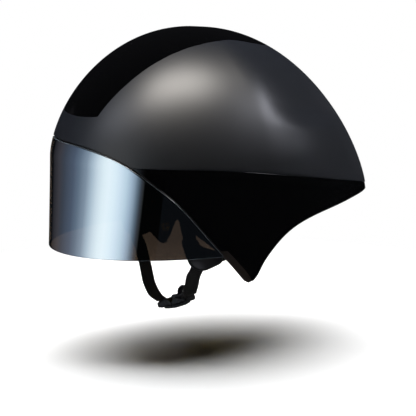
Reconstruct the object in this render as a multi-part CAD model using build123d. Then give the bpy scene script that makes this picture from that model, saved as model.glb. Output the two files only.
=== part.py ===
from build123d import *
from math import asin, atan2, cos, degrees, pi, radians, sin, sqrt, tan
import os

import numpy as np

# Aero time trial helmet. Millimetres, Z up, visor towards -Y, the wearer's left at +X.
# The origin is the middle of the head hollow, at the level where head size is measured.

# Outer form
FORM_TOP = 118.0          # crown above the size level
NOSE_REACH = 137.0        # origin to the front of the brow
TAIL_REACH = 199.0        # origin to the tip of the tail
HALF_WIDTH = 108.0        # half of the widest place
WIDEST_Y = 25.0           # the widest place lies this far back
TAIL_LEVEL = 58.0         # the tail tip lies this far below the size level
TURN_IN = 18.0            # height over which the sides start to turn in
SHOULDER_LEVEL = 42.0     # level of the shoulder line beside the crown
SHOULDER_FROM = 30.0      # place along the helmet where that level holds
SHOULDER_UNDER = 6.0      # the pinch starts this far under the shoulder line
SHOULDER_BAND = 22.0      # height over which the pinch grows
PINCH_START = 25.0        # the rear crown starts to narrow here
PINCH_END = 130.0         # and has its full pinch from here on
CROWN_POWER_SHARE = 2.0
BROW_POWER_SHARE = 1.61
TAIL_POWER_SHARE = 1.45
FRONT_POWER_SHARE = 2.35
REAR_POWER_SHARE = 2.2
TAIL_TAPER_SHARE = 0.84
SIDE_TUCK_SHARE = 0.12
VISOR_LEAN_SHARE = 0.052
PINCH_SHARE = 0.20
SHOULDER_FALL_SHARE = 0.22
FAN_Y = 15.0              # line along X from which the sections of the form fan out
FAN_DROP = 190.0
FAN_REACH = 400.0
FAN_FIRST_DEG = 30.0
FAN_LAST_DEG = 152.0
FAN_SECTIONS = 22
RAY_SPREAD_DEG = 66.0
RAY_COUNT = 23
RAY_CROWDING_SHARE = 1.5
SLOPE_STEP_SHARE = 0.0005

# Walls, laps and gaps
SHELL_WALL = 1.4
SHELL_LIP = 0.6           # the lower shell lies this far under the upper shell's face
SEAM_GAP = 0.4
SEAT_GAP = 0.3            # clearance between pieces that lie against each other
LENS_WALL = 2.0
LENS_GAP = 1.6            # shadow gap between lens edge and shell edge
LENS_BOTTOM = 84.5        # lower edge of the lens below the size level
FRAME_WALL = 1.6
FRAME_FRONT_LAP = 8.0     # frame under the lens
FRAME_BACK_LAP = 7.0      # frame under the shells
FLANGE_SHOW = 6.5         # width of the frame that shows on the flap
OVERRUN = 30.0

# Side-view lines: shares of the nose reach (backwards) and of the flap drop (upwards)
FLAP_DROP = 113.0
swoop_shares = [(-1.10, 0.166), (-1.02, 0.166), (-0.950, 0.161), (-0.895, 0.142), (-0.832, 0.106),
                (-0.709, 0.013), (-0.598, -0.100), (-0.475, -0.226), (-0.341, -0.396),
                (-0.197, -0.601), (-0.095, -0.738)]
flap_front_shares = [(-0.095, -0.738), (-0.080, -0.760), (0.003, -0.870), (0.082, -0.980)]
flap_tip_shares = [(0.082, -0.980), (0.112, -1.0), (0.143, -0.988)]
skirt_shares = [(0.143, -0.988), (0.168, -0.953), (0.208, -0.862), (0.272, -0.750), (0.352, -0.653),
                (0.463, -0.573), (0.588, -0.529), (0.904, -0.506), (1.293, -0.516), (1.411, -0.504),
                (1.50, -0.470)]
belt_shares = [(-1.05, 0.030), (-0.709, 0.021), (-0.479, 0.0115), (-0.288, 0.0), (-0.080, -0.021),
               (0.141, -0.056), (0.488, -0.134), (0.864, -0.250), (1.191, -0.356), (1.386, -0.419),
               (1.60, -0.489)]
liner_shares = [(-1.10, 0.095), (-0.80, 0.095), (-0.66, 0.045), (-0.50, -0.090), (-0.36, -0.270),
                (-0.20, -0.480), (-0.08, -0.620)]
liner_foot_shares = [(0.0, -0.740), (0.18, -0.740)]
liner_rear_shares = [(0.33, -0.585), (0.50, -0.460), (0.74, -0.395), (0.88, -0.390)]
liner_back_shares = [(0.96, -0.060), (1.01, 0.300), (1.04, 0.640)]

# Head hollow and foam liner
HEAD_HALF_WIDTH = 82.0
HEAD_HALF_LENGTH = 103.0
HEAD_HEIGHT = 91.0
HEAD_DEPTH = 150.0
CHANNEL_WIDTH = 14.0
CHANNEL_DEPTH = 9.0
CHANNEL_SPACING = 31.0
CHANNEL_SIDES = (-1, 0, 1)
CHANNEL_FRONT = 58.0
CHANNEL_FLOOR = 14.0
EXIT_HEIGHT = 18.0
EAR_FRONT = 4.0
EAR_BACK = 44.0
EAR_TOP = 38.0
EAR_HALF_WIDTH = 90.0
EAR_CORNER = 8.0

# Low-friction layer and its anchors
SLIP_WALL = 0.8
SLIP_FRONT_EDGE = 16.0
SLIP_REAR_EDGE = 26.0
ANCHOR_RADIUS = 6.0
ANCHOR_HEAD = 1.2
ANCHOR_STEM = 2.0
ANCHOR_STEM_LENGTH = 7.0
ANCHOR_LEVEL = 46.0
ANCHOR_ANGLES_DEG = (50.0, -50.0, 128.0, -128.0)
ANCHOR_HOLE = 3.2
WINDOW_FRONT = 48.0
WINDOW_BACK = 62.0
STRIP_WIDTH = 8.0
STRIP_FRONT = 14.0
STRIP_TOP = 62.0
STRIP_BOTTOM = 100.0
STRIP_WALL = 1.0

# Comfort pads
PAD_THICK = 6.0
PAD_HEIGHT = 22.0
BROW_PAD_LEVEL = 28.0
BROW_PAD_SPREAD_DEG = 58.0
SIDE_PAD_LEVEL = 30.0
SIDE_PAD_FROM_DEG = 68.0
SIDE_PAD_TO_DEG = 112.0
CROWN_PAD_FROM_DEG = 56.0
CROWN_PAD_TO_DEG = 122.0
CROWN_PAD_X = 15.5
CROWN_PAD_WIDTH = 13.0
PAD_STATIONS = 9
PAD_END_SHARE = 0.35

# Visor magnets
MAGNET_RADIUS = 3.0
MAGNET_THICK = 2.5
MAGNET_PLAY = 0.05
MAGNET_CUP_WALL = 1.6
MAGNET_FLOOR = 0.6
KEEPER_THICK = 1.3
KEEPER_PLAY = 0.6
SIDE_MAGNET_Y = -77.0
SIDE_MAGNET_Z = -21.8
NOSE_MAGNET_Z = 15.0

# Webbing and its hardware
WEB_WIDTH = 13.0
WEB_THICK = 1.6
WEB_STATIONS = 17
ANCHOR_LONG = 18.0
ANCHOR_DEEP = 8.0
ANCHOR_HIGH = 4.0
ANCHOR_ROUND = 1.0
FRONT_ANCHOR = (83.0, -50.5, -20.0)
FRONT_ANCHOR_DOWN = (0.0, 0.14, -0.99)
REAR_ANCHOR = (75.0, 62.0, -45.0)
REAR_ANCHOR_DOWN = (0.10, -0.62, -0.78)
RIGHT_SWING = 8.0         # the right-hand divider hangs this far further back
SPLITTER_X = 80.0
SPLITTER_Y = -33.0
SPLITTER_Z = -82.0
SPLITTER_SPAN = 25.0
SPLITTER_THICK = 5.0
SPLITTER_POCKET = 3.0
SPLITTER_ROUND = 1.0
splitter_shares = [(-0.60, 0.52), (-0.48, 0.64), (-0.10, 0.62), (0.08, 0.32), (0.52, 0.18), (0.60, -0.36),
                   (0.36, -0.60), (0.0, -0.44), (-0.20, -0.30), (-0.52, 0.20)]
front_entry_shares = (-0.28, 0.616)
front_entry_run_shares = (0.21, -0.98)
rear_entry_shares = (0.56, -0.092)
rear_entry_run_shares = (-1.0, -0.06)
chin_entry_shares = (0.16, -0.488)
chin_entry_run_shares = (0.10, 0.99)
chin_left_shares = [(0.938, -0.370, -1.300), (0.825, -0.345, -1.450), (0.700, -0.313, -1.569)]
chin_right_shares = [(-0.969, -0.244, -1.269), (-0.875, -0.238, -1.381), (-0.750, -0.256, -1.500),
                     (-0.438, -0.350, -1.663), (-0.100, -0.444, -1.731)]
BUCKLE_AT = (31.0, -29.3, -139.0)
BUCKLE_RUN = (34.0, 15.5, 12.0)
BUCKLE_HALF = 16.0
CHIN_END_SLOPE_SHARE = 1.5
BUCKLE_THICK = 8.0
BUCKLE_WIDTH = 18.0
BUCKLE_STOP = 1.6
BUCKLE_ROUND = 1.0
HOOK_HEAD = 4.0
HOOK_NECK = 3.0
HOOK_HEAD_HALF = 2.4
HOOK_NECK_HALF = 1.3
BAR_SLOT = 3.0
BAR_LENGTH = 3.0
BAR_HALF = 2.0
LEVER_LENGTH = 11.0
LEVER_THICK = 2.2
LEVER_WIDTH = 11.0
LEVER_AT = 4.5
LEVER_HEIGHT = 4.8
LEVER_KNUCKLE = 2.0
LEVER_PIN = 1.0
LEVER_LEAN_DEG = 82.0
EAR_WALL = 1.6
PIN_PLAY = 0.05

# Fit system at the back of the head, in its own frame: Z is the axis of the bands' arc
FIT_BEHIND = 19.0         # from the bands' back to the hollow's back
FIT_Z = -50.0
FIT_TILT_DEG = 28.0
BAND_ROOM = 10.0          # between the bands and the hollow's sides
BAND_THICK = 2.0
BAND_HALF_HEIGHT = 4.5
BAND_STRIP_TOP = 11.0
BAND_STRIP_END_DEG = 12.7
BAND_STEP_DEG = 24.0
BAND_JOIN_DEG = 29.0
BAND_END_DEG = 106.0
PINION_TEETH = 12
MODULE = 1.0
PRESSURE_DEG = 25.0
RACK_HALF_COUNT = 5
TOOTH_TIP = 0.9
TOOTH_ROOT = 1.2
RACK_PLAY = 0.3
PINION_PLAY = 0.1
PINION_THICK = 1.7
FLANK_STEPS = 5
SHAFT_RADIUS = 2.0
HOUSING_DEG = 13.0
HOUSING_HALF_HEIGHT = 13.5
HOUSING_WALL = 1.8
COVER_WALL = 1.2
BOSS_HALF_WIDTH = 3.2
BOSS_HALF_HEIGHT = 4.0
HEIGHT_TRAVEL = 8.0
RAIL_WALL = 2.4
RAIL_HALF_WIDTH = 9.0
RAIL_ABOVE = 22.0
RAIL_TOP = 40.0
RAIL_BELOW = 17.0
RAIL_PLAY = 0.1
RAIL_FOOT = 16.0
RAIL_PIN_RADIUS = 2.0
RAIL_PIN_LENGTH = 14.0
RAIL_PIN_X = 5.5
RAIL_PIN_Z = 28.0
KNOB_RADIUS = 12.0
KNOB_DEPTH = 8.0
KNOB_FLUTES = 18
KNOB_FLUTE = 1.0
KNOB_ROUND = 1.0
NOTCH_HALF_WIDTH = 17.0
NOTCH_TOP = 35.5
NOTCH_BEHIND = 13.0
NAPE_PAD_THICK = 5.0
NAPE_PAD_HEIGHT = 24.0
CLIP_Y = -5.0
CLIP_DEPTH = 8.0
CLIP_WALL = 1.8
CLIP_PLAY = 2.0

# Places that follow from the sizes above
LOWER_FACE = SHELL_LIP
LOWER_BACK = SHELL_LIP + SHELL_WALL
FRAME_FACE = LENS_WALL + SEAT_GAP
FRAME_BACK = FRAME_FACE + FRAME_WALL
FOAM_FACE = FRAME_FACE
SIDE_REACH = HALF_WIDTH + OVERRUN
FIT_Y = HEAD_HALF_LENGTH - FIT_BEHIND
NOTCH_FRONT = HEAD_HALF_LENGTH - NOTCH_BEHIND
BAND_RADIUS = HEAD_HALF_WIDTH - BAND_ROOM
CLIP_OUT = HEAD_HALF_WIDTH + CLIP_WALL

os.makedirs("parts", exist_ok=True)


def save(name, shape):
    """Write one node as its own STEP file."""
    shape.label = name
    export_step(shape, f"parts/{name}.step")


def solid(shape):
    """The largest solid of a shape, or the shape as a group when it holds several."""
    solids = shape.solids()
    if len(solids) == 1:
        return solids[0]
    return Compound(children=list(solids))


# The outer form as a formula: half width over the side plane
def ease(t):
    """Smooth step from 0 to 1."""
    t = np.clip(t, 0, 1)
    return t * t * (3 - 2 * t)


def below(z):
    """About the depth below the size level, with a soft start."""
    return (np.sqrt(z * z + TURN_IN**2) - z) / 2


def half_width(y, z):
    """Half the outer width at a place in the side view, nothing outside the outline."""
    up = np.clip(z / FORM_TOP, 0, 1)
    wide = HALF_WIDTH * np.sqrt(1 - up**CROWN_POWER_SHARE) - SIDE_TUCK_SHARE * below(z)
    nose = -NOSE_REACH * np.sqrt(1 - up**BROW_POWER_SHARE) - VISOR_LEAN_SHARE * below(z)
    climb = np.clip((z + TAIL_LEVEL) / (FORM_TOP + TAIL_LEVEL), 0, 1)
    tail = TAIL_REACH * np.sqrt(1 - climb**TAIL_POWER_SHARE)
    middle = WIDEST_Y * (1 - up**2)
    tiny = FORM_TOP * SLOPE_STEP_SHARE**2
    ahead = np.clip((middle - y) / np.maximum(middle - nose, tiny), 0, 1)
    behind = np.clip((y - middle) / np.maximum(tail - middle, tiny), 0, 1)
    front = np.sqrt(1 - ahead**FRONT_POWER_SHARE)
    rear = np.sqrt(1 - behind**REAR_POWER_SHARE) * (1 - TAIL_TAPER_SHARE * behind**2)
    shoulder = SHOULDER_LEVEL - SHOULDER_FALL_SHARE * (y - SHOULDER_FROM)
    along = ease((y - PINCH_START) / (PINCH_END - PINCH_START))
    pinch = 1 - PINCH_SHARE * along * ease((z - shoulder + SHOULDER_UNDER) / SHOULDER_BAND)
    return np.clip(wide, 0, None) * np.where(y < middle, front, rear) * pinch


def depth(x, y, z):
    """Distance below the outer surface, to first order, from the squared half width and its slope."""
    step = FORM_TOP * SLOPE_STEP_SHARE
    square = half_width(y, z) ** 2
    slope_y = (half_width(y + step, z) ** 2 - half_width(y - step, z) ** 2) / (2 * step)
    slope_z = (half_width(y, z + step) ** 2 - half_width(y, z - step) ** 2) / (2 * step)
    slope = np.sqrt(4 * x * x + slope_y**2 + slope_z**2)
    return np.where(square > 0, (square - x * x) / np.maximum(slope, step), -FORM_TOP)


def surface_x(y, z, inset):
    """Half width of the surface that lies an inset below the outer one."""
    low, high = 0.0, 2 * HALF_WIDTH
    for _ in range(40):
        x = (low + high) / 2
        if depth(np.array(x), np.array(y), np.array(z)) > inset:
            low = x
        else:
            high = x
    return low


form_cache = {}


def form(inset):
    """Closed block under the surface that lies an inset below the outer one.

    Half planes fan out from a line along X below the helmet. In each one the surface is an arch,
    found by halving the step along rays, and the block is lofted through the arches.
    """
    if inset in form_cache:
        return form_cache[inset]
    spread = np.linspace(-1, 1, RAY_COUNT)
    rays = np.radians(RAY_SPREAD_DEG) * np.sign(spread) * np.abs(spread) ** RAY_CROWDING_SHARE
    arches = []
    for tilt in np.radians(np.linspace(FAN_FIRST_DEG, FAN_LAST_DEG, FAN_SECTIONS)):
        low = np.zeros(RAY_COUNT)
        high = np.full(RAY_COUNT, FAN_REACH)
        for _ in range(45):
            reach = (low + high) / 2
            out = reach * np.cos(rays)
            y = FAN_Y + out * np.cos(tilt)
            z = -FAN_DROP + out * np.sin(tilt)
            inside = depth(reach * np.sin(rays), y, z) > inset
            low = np.where(inside, reach, low)
            high = np.where(inside, high, reach)
        out = low * np.cos(rays)
        x = low * np.sin(rays)
        y = FAN_Y + out * np.cos(tilt)
        z = -FAN_DROP + out * np.sin(tilt)
        points = [Vector(*point) for point in np.stack([x, y, z], 1).tolist()]
        arch = Edge.make_spline(points, parameters=spread.tolist())
        arches.append(Face(Wire([arch, Line(points[-1], points[0])])))
    form_cache[inset] = loft(arches)
    return form_cache[inset]


# Side-view outlines
def placed(shares):
    """Side-view points from their shares of the nose reach and the flap drop."""
    return [(a * NOSE_REACH, b * FLAP_DROP) for a, b in shares]


def beside(points, distance):
    """The same line moved sideways: to the left of its direction for a positive distance."""
    moved = []
    for i, (y, z) in enumerate(points):
        y0, z0 = points[max(i - 1, 0)]
        y1, z1 = points[min(i + 1, len(points) - 1)]
        run = sqrt((y1 - y0) ** 2 + (z1 - z0) ** 2)
        moved.append((y - distance * (z1 - z0) / run, z + distance * (y1 - y0) / run))
    return moved


def prism(edges):
    """Side-view outline, pushed out to both sides past the helmet."""
    return extrude(Plane.YZ * Face(Wire(edges)), amount=SIDE_REACH, both=True)


def runs(points):
    """Straight edges from point to point."""
    return [Line(a, b) for a, b in zip(points, points[1:])]


def side_region(line, corners):
    """Prism bounded by a smooth line and closed by straight runs through the corners."""
    return prism([Spline(*line), *runs([line[-1], *corners, line[0]])])


TOP_Z = FORM_TOP + OVERRUN
FRONT_Y = -NOSE_REACH - OVERRUN
BACK_Y = TAIL_REACH + OVERRUN

swoop = placed(swoop_shares)
flap_front = placed(flap_front_shares)
flap_tip = placed(flap_tip_shares)
skirt = placed(skirt_shares)
belt = placed(belt_shares)


def helmet_side():
    """Both shells in the side view, from the brow down the flap and along the skirt to the tail."""
    edge = beside(swoop, LENS_GAP)
    step = beside(flap_front, FLANGE_SHOW)
    corners = [skirt[-1], (BACK_Y, skirt[-1][1]), (BACK_Y, TOP_Z), (FRONT_Y, TOP_Z), (FRONT_Y, edge[0][1])]
    return prism([Spline(*edge), *runs([edge[-1], *step, skirt[0]]), Spline(*skirt), *runs([*corners, edge[0]])])


def under_belt(gap):
    """Everything under the seam between the two shells."""
    line = [(y, z - gap) for y, z in belt]
    floor = -FLAP_DROP - OVERRUN
    return side_region(line, [(BACK_Y, line[-1][1]), (BACK_Y, floor), (FRONT_Y, floor), (FRONT_Y, line[0][1])])


def skin(outer, inner, region):
    """The wall between two depths, kept inside a region."""
    return (form(outer) & region) - form(inner)


side = helmet_side()
upper_shell = skin(0.0, SHELL_WALL, side) - under_belt(0.0)
save("upper_shell", solid(upper_shell))
lower_shell = skin(LOWER_FACE, LOWER_BACK, side & under_belt(SEAM_GAP))
save("lower_shell", solid(lower_shell))


# Visor lens
def lens_region():
    """The lens in the side view, with a rounded rear corner."""
    edge = [p for p in swoop if p[1] > -LENS_BOTTOM]
    last = edge[-1]
    foot = flap_front[1]
    share = (last[1] + LENS_BOTTOM) / (last[1] - foot[1])
    corner = (last[0] + share * (foot[0] - last[0]), -LENS_BOTTOM)
    return side_region(edge, [corner, (FRONT_Y, -LENS_BOTTOM), (FRONT_Y, edge[0][1])])


lens = skin(0.0, LENS_WALL, lens_region())
save("visor_lens", solid(lens))


# Visor frame: a rim under the lens edge that shows as a flange on the flaps
def frame_region(extra):
    """Band along the lens edge, widened by an extra amount for the seat in the foam."""
    front = beside(swoop[:-2], -FRAME_FRONT_LAP - extra) + beside(flap_front[1:], -extra)
    back = beside(swoop[:-1], FRAME_BACK_LAP + extra)
    inner = beside(flap_front, FLANGE_SHOW + FRAME_BACK_LAP + extra)
    foot = runs([front[-1], *flap_tip[1:], inner[-1]])
    return prism([Spline(*front), *foot, *runs([*inner[::-1], back[-1]]), Spline(*back[::-1]), Line(back[0], front[0])])


frame = skin(FRAME_FACE, FRAME_BACK, frame_region(0.0))


# Visor magnets in cups on the frame, and their keepers on the lens
def nose_plane(z):
    """Plane on the middle of the front, with Z outward."""
    low, high = -2 * NOSE_REACH, 0.0
    for _ in range(40):
        y = (low + high) / 2
        if half_width(np.array(y), np.array(z)) > 0:
            high = y
        else:
            low = y
    return Plane(origin=(0, high, z), x_dir=(1, 0, 0), z_dir=(0, -1, 0))


def surface_plane(y, z, inset):
    """Plane on the surface below an inset, with Z outward and X towards the front."""
    x = surface_x(y, z, inset)
    step = FORM_TOP * SLOPE_STEP_SHARE
    slope_y = (surface_x(y + step, z, inset) - surface_x(y - step, z, inset)) / (2 * step)
    slope_z = (surface_x(y, z + step, inset) - surface_x(y, z - step, inset)) / (2 * step)
    outward = Vector(1, -slope_y, -slope_z).normalized()
    forward = Vector(0, -1, 0)
    forward = forward - outward * forward.dot(outward)
    return Plane(origin=(x, y, z), x_dir=forward, z_dir=outward)


def disc(plane, radius, start, length):
    """Round disc along the inward normal of a plane, from a start depth."""
    return plane * Pos(0, 0, -start - length / 2) * Cylinder(radius, length)


cup_floor = LENS_WALL + SEAT_GAP + KEEPER_THICK + SEAT_GAP
cup_back = cup_floor + MAGNET_FLOOR + MAGNET_THICK + SEAT_GAP / 2
left_place = surface_plane(SIDE_MAGNET_Y, SIDE_MAGNET_Z, 0.0)
nose_place = nose_plane(NOSE_MAGNET_Z)
cup_radius = MAGNET_RADIUS + MAGNET_CUP_WALL


def three(make):
    """The left, right and nose copies of what a function makes on a plane."""
    left = make(left_place, True)
    return [left, mirror(left, about=Plane.YZ), make(nose_place, False)]


def keeper_slot(plane, sideways):
    """Room for a keeper, open to the front where the lens slides over the frame."""
    radius = MAGNET_RADIUS + KEEPER_PLAY
    room = disc(plane, radius, 0, cup_floor)
    if sideways:
        room += plane * Pos(OVERRUN / 2, 0, -cup_floor / 2) * Box(OVERRUN, 2 * radius, cup_floor)
    return room


magnet_start = cup_floor + MAGNET_FLOOR
cups = three(lambda plane, sideways: disc(plane, cup_radius, LENS_WALL, cup_back - LENS_WALL))
keeper_rooms = three(keeper_slot)
magnet_rooms = three(lambda plane, sideways: disc(plane, MAGNET_RADIUS + MAGNET_PLAY, magnet_start, OVERRUN))
for cup in cups:
    frame += cup & form(FRAME_FACE)
for room in keeper_rooms + magnet_rooms:
    frame -= room
save("visor_frame", solid(frame))
magnets = three(lambda plane, sideways: disc(plane, MAGNET_RADIUS, magnet_start + MAGNET_PLAY, MAGNET_THICK))
save("frame_magnets", Compound(children=magnets))
keepers = three(lambda plane, sideways: disc(plane, MAGNET_RADIUS, LENS_WALL, KEEPER_THICK + SEAT_GAP))
save("lens_keepers", Compound(children=[solid(keeper & form(FRAME_FACE)) for keeper in keepers]))


# Foam liner
def hollow(inset):
    """The head hollow: half an ellipsoid over an oval well, made smaller by an inset."""
    sizes = (HEAD_HALF_WIDTH - inset, HEAD_HALF_LENGTH - inset, HEAD_HEIGHT - inset)
    well = -HEAD_DEPTH / sizes[2]
    outline = [CenterArc((0, 0), 1, 0, 90), Line((1, 0), (1, well)), Line((1, well), (0, well)), Line((0, well), (0, 1))]
    return scale(revolve(Plane.XZ * Face(Wire(outline)), Axis.Z), by=sizes)


def block(x0, x1, y0, y1, z0, z1):
    """Box between two corners."""
    return Pos((x0 + x1) / 2, (y0 + y1) / 2, (z0 + z1) / 2) * Box(x1 - x0, y1 - y0, z1 - z0)


def liner_region():
    """The foam in the side view."""
    front = placed(liner_shares)
    foot = placed(liner_foot_shares)
    rear = placed(liner_rear_shares)
    back = placed(liner_back_shares)
    edges = [Spline(*front), *runs([front[-1], *foot, rear[0]]), Spline(*rear), *runs([rear[-1], *back])]
    corners = [back[-1], (back[-1][0], TOP_Z), (FRONT_Y, TOP_Z), (FRONT_Y, front[0][1]), front[0]]
    return prism([*edges, *runs(corners)])


foam = form(FOAM_FACE) & liner_region()
foam -= hollow(0.0)
foam -= skin(0.0, FRAME_BACK + SEAT_GAP, frame_region(SEAT_GAP))
foam -= disc(nose_place, cup_radius + SEAT_GAP, 0, cup_back + FRAME_FACE)
deep = hollow(-CHANNEL_DEPTH)
for place in CHANNEL_SIDES:
    x0 = place * CHANNEL_SPACING - CHANNEL_WIDTH / 2
    x1 = x0 + CHANNEL_WIDTH
    foam -= deep & block(x0, x1, -CHANNEL_FRONT, HEAD_HALF_LENGTH + CHANNEL_DEPTH, CHANNEL_FLOOR, TOP_Z)
    foam -= block(x0, x1, HEAD_HALF_LENGTH * cos(asin(x1 / HEAD_HALF_WIDTH)) - CHANNEL_DEPTH, TAIL_REACH,
                  CHANNEL_FLOOR, CHANNEL_FLOOR + EXIT_HEIGHT)
ear = block(-EAR_HALF_WIDTH, EAR_HALF_WIDTH, EAR_FRONT, EAR_BACK, -HEAD_DEPTH, -EAR_TOP)
foam -= fillet(ear.edges().filter_by(Axis.X), EAR_CORNER)
foam -= block(-NOTCH_HALF_WIDTH, NOTCH_HALF_WIDTH, NOTCH_FRONT, TAIL_REACH, -HEAD_DEPTH, -NOTCH_TOP)


# Low-friction layer inside the foam, with its anchors
def wall_plane(x, y, z, run, inset):
    """Plane on the hollow's wall, moved in by an inset, with X outward and Z along a run."""
    a, b, c = HEAD_HALF_WIDTH, HEAD_HALF_LENGTH, HEAD_HEIGHT
    outward = Vector(x / a**2, y / b**2, max(z, 0) / c**2).normalized()
    along = Vector(*run)
    along = along - outward * along.dot(outward)
    return Plane(origin=Vector(x, y, z) - outward * inset, x_dir=outward, z_dir=along)


def ring_plane(angle, level, inset):
    """Plane on the hollow's wall at an angle from the front and a level, with Z along the ring."""
    size = sqrt(1 - (max(level, 0) / HEAD_HEIGHT) ** 2)
    a, b = size * HEAD_HALF_WIDTH, size * HEAD_HALF_LENGTH
    turn = radians(angle)
    run = (a * cos(turn), b * sin(turn), 0)
    return wall_plane(a * sin(turn), -b * cos(turn), level, run, inset)


def crown_plane(angle, x, inset):
    """Plane on the hollow's wall above a place beside the middle, with Z along the helmet."""
    size = sqrt(1 - (x / HEAD_HALF_WIDTH) ** 2)
    b, c = size * HEAD_HALF_LENGTH, size * HEAD_HEIGHT
    turn = radians(angle)
    run = (0, b * sin(turn), c * cos(turn))
    return wall_plane(x, -b * cos(turn), c * sin(turn), run, inset)


def peg(plane, radius, start, length):
    """Round peg along the outward direction of a wall plane, from a distance outside it."""
    return plane * Pos(start + length / 2, 0, 0) * Rot(0, 90, 0) * Cylinder(radius, length)


slip_face = SEAT_GAP
slip_back = SEAT_GAP + SLIP_WALL
pad_seat = slip_back + SEAT_GAP
anchor_planes = [ring_plane(angle, ANCHOR_LEVEL, pad_seat) for angle in ANCHOR_ANGLES_DEG]
slope = (SLIP_REAR_EDGE - SLIP_FRONT_EDGE) / (2 * HEAD_HALF_LENGTH)
edge_line = [(FRONT_Y, SLIP_FRONT_EDGE + slope * (FRONT_Y + HEAD_HALF_LENGTH)),
             (BACK_Y, SLIP_FRONT_EDGE + slope * (BACK_Y + HEAD_HALF_LENGTH))]
slip_region = prism(runs([*edge_line, (BACK_Y, TOP_Z), (FRONT_Y, TOP_Z), edge_line[0]]))
slip = (hollow(slip_face) - hollow(slip_back)) & slip_region
for place in CHANNEL_SIDES:
    x0 = place * CHANNEL_SPACING - CHANNEL_WIDTH / 2
    slip -= block(x0, x0 + CHANNEL_WIDTH, -WINDOW_FRONT, WINDOW_BACK, CHANNEL_FLOOR, TOP_Z)
anchors = []
for plane in anchor_planes:
    slip -= peg(plane, ANCHOR_HOLE, -SLIP_WALL, 4 * SLIP_WALL)
    foam -= peg(plane, ANCHOR_STEM + PIN_PLAY, 0, pad_seat + ANCHOR_STEM_LENGTH)
    head = peg(plane, ANCHOR_RADIUS, -ANCHOR_HEAD, ANCHOR_HEAD)
    anchors.append(head + peg(plane, ANCHOR_STEM, -ANCHOR_HEAD / 2, pad_seat + ANCHOR_STEM_LENGTH))
save("slip_layer", solid(slip))
save("slip_anchors", Compound(children=anchors))


# Comfort pads: crowned across, thinner towards their ends
def pad(planes, width):
    """Pad lofted through ovals whose backs lie on the wall planes."""
    ovals = []
    for i, plane in enumerate(planes):
        along = 2 * i / (len(planes) - 1) - 1
        share = PAD_END_SHARE + (1 - PAD_END_SHARE) * sqrt(1 - along**4)
        half = PAD_THICK * share / 2
        height = width * (1 + share) / 4
        ovals.append(plane * Pos(-half, 0, 0) * Ellipse(half, height))
    return loft(ovals)


def spaced(first, last, count):
    """Evenly spaced values from the first to the last."""
    return [first + (last - first) * i / (count - 1) for i in range(count)]


brow_angles = spaced(-BROW_PAD_SPREAD_DEG, BROW_PAD_SPREAD_DEG, PAD_STATIONS)
side_angles = spaced(SIDE_PAD_FROM_DEG, SIDE_PAD_TO_DEG, PAD_STATIONS)
crown_angles = spaced(CROWN_PAD_FROM_DEG, CROWN_PAD_TO_DEG, PAD_STATIONS)
save("brow_pad", pad([ring_plane(angle, BROW_PAD_LEVEL, pad_seat) for angle in brow_angles], PAD_HEIGHT))
side_pad = pad([ring_plane(angle, SIDE_PAD_LEVEL, pad_seat) for angle in side_angles], PAD_HEIGHT)
save("side_pad_left", side_pad)
save("side_pad_right", mirror(side_pad, about=Plane.YZ))
crown_pad = pad([crown_plane(angle, CROWN_PAD_X, pad_seat) for angle in crown_angles], CROWN_PAD_WIDTH)
save("crown_pad_left", crown_pad)
save("crown_pad_right", mirror(crown_pad, about=Plane.YZ))


# Low-friction strips bonded inside the flaps
strip_box = block(0, SIDE_REACH, STRIP_FRONT, STRIP_FRONT + STRIP_WIDTH, -STRIP_BOTTOM, -STRIP_TOP)
strip_face = FRAME_BACK + SEAT_GAP
strip = skin(strip_face, strip_face + STRIP_WALL, strip_box)
foam -= skin(0.0, strip_face + STRIP_WALL + SEAT_GAP, block(
    -SIDE_REACH, SIDE_REACH, STRIP_FRONT - SEAT_GAP, STRIP_FRONT + STRIP_WIDTH + SEAT_GAP, -HEAD_DEPTH,
    -STRIP_TOP + SEAT_GAP))
save("flap_strip_left", solid(strip))
save("flap_strip_right", mirror(solid(strip), about=Plane.YZ))


# Webbing, its anchors in the foam and the dividers below the ears
def ribbon(points, ends, widths, room=0.0):
    """Flat webbing along a smooth path with given end directions; a room widens it for cuts."""
    directions = [Vector(*end).normalized() for end in ends]
    path = Edge.make_spline([Vector(*point) for point in points], tangents=directions, scale=False)
    stations = []
    for step in spaced(0, 1, WEB_STATIONS):
        share = float(ease(step))
        turn = float(ease(share))
        width = Vector(*widths[0]) * (1 - turn) + Vector(*widths[1]) * turn
        plane = Plane(origin=path @ share, x_dir=width, z_dir=path % share)
        stations.append(plane * Rectangle(WEB_WIDTH + 2 * room, WEB_THICK + 2 * room))
    return loft(stations)


def anchor_plane(place, down):
    """Plane at an anchor, with Z up the strap and X along the helmet."""
    up = -Vector(*down)
    across = Vector(0, 1, 0) - up * up.Y
    return Plane(origin=place, x_dir=across, z_dir=up)


def entry_plane(entry, run, swing):
    """Plane at a strap entry of a divider, with Z into the divider and Y along X."""
    middle = (SPLITTER_X, SPLITTER_Y + swing + entry[0] * SPLITTER_SPAN, SPLITTER_Z + entry[1] * SPLITTER_SPAN)
    return Plane(origin=middle, x_dir=(0, -run[1], run[0]), z_dir=(0, *run))


web_room = WEB_THICK + 2 * SEAT_GAP
web_slot = WEB_WIDTH + 2 * SEAT_GAP
pocket_end = SPLITTER_POCKET - SEAT_GAP


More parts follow.
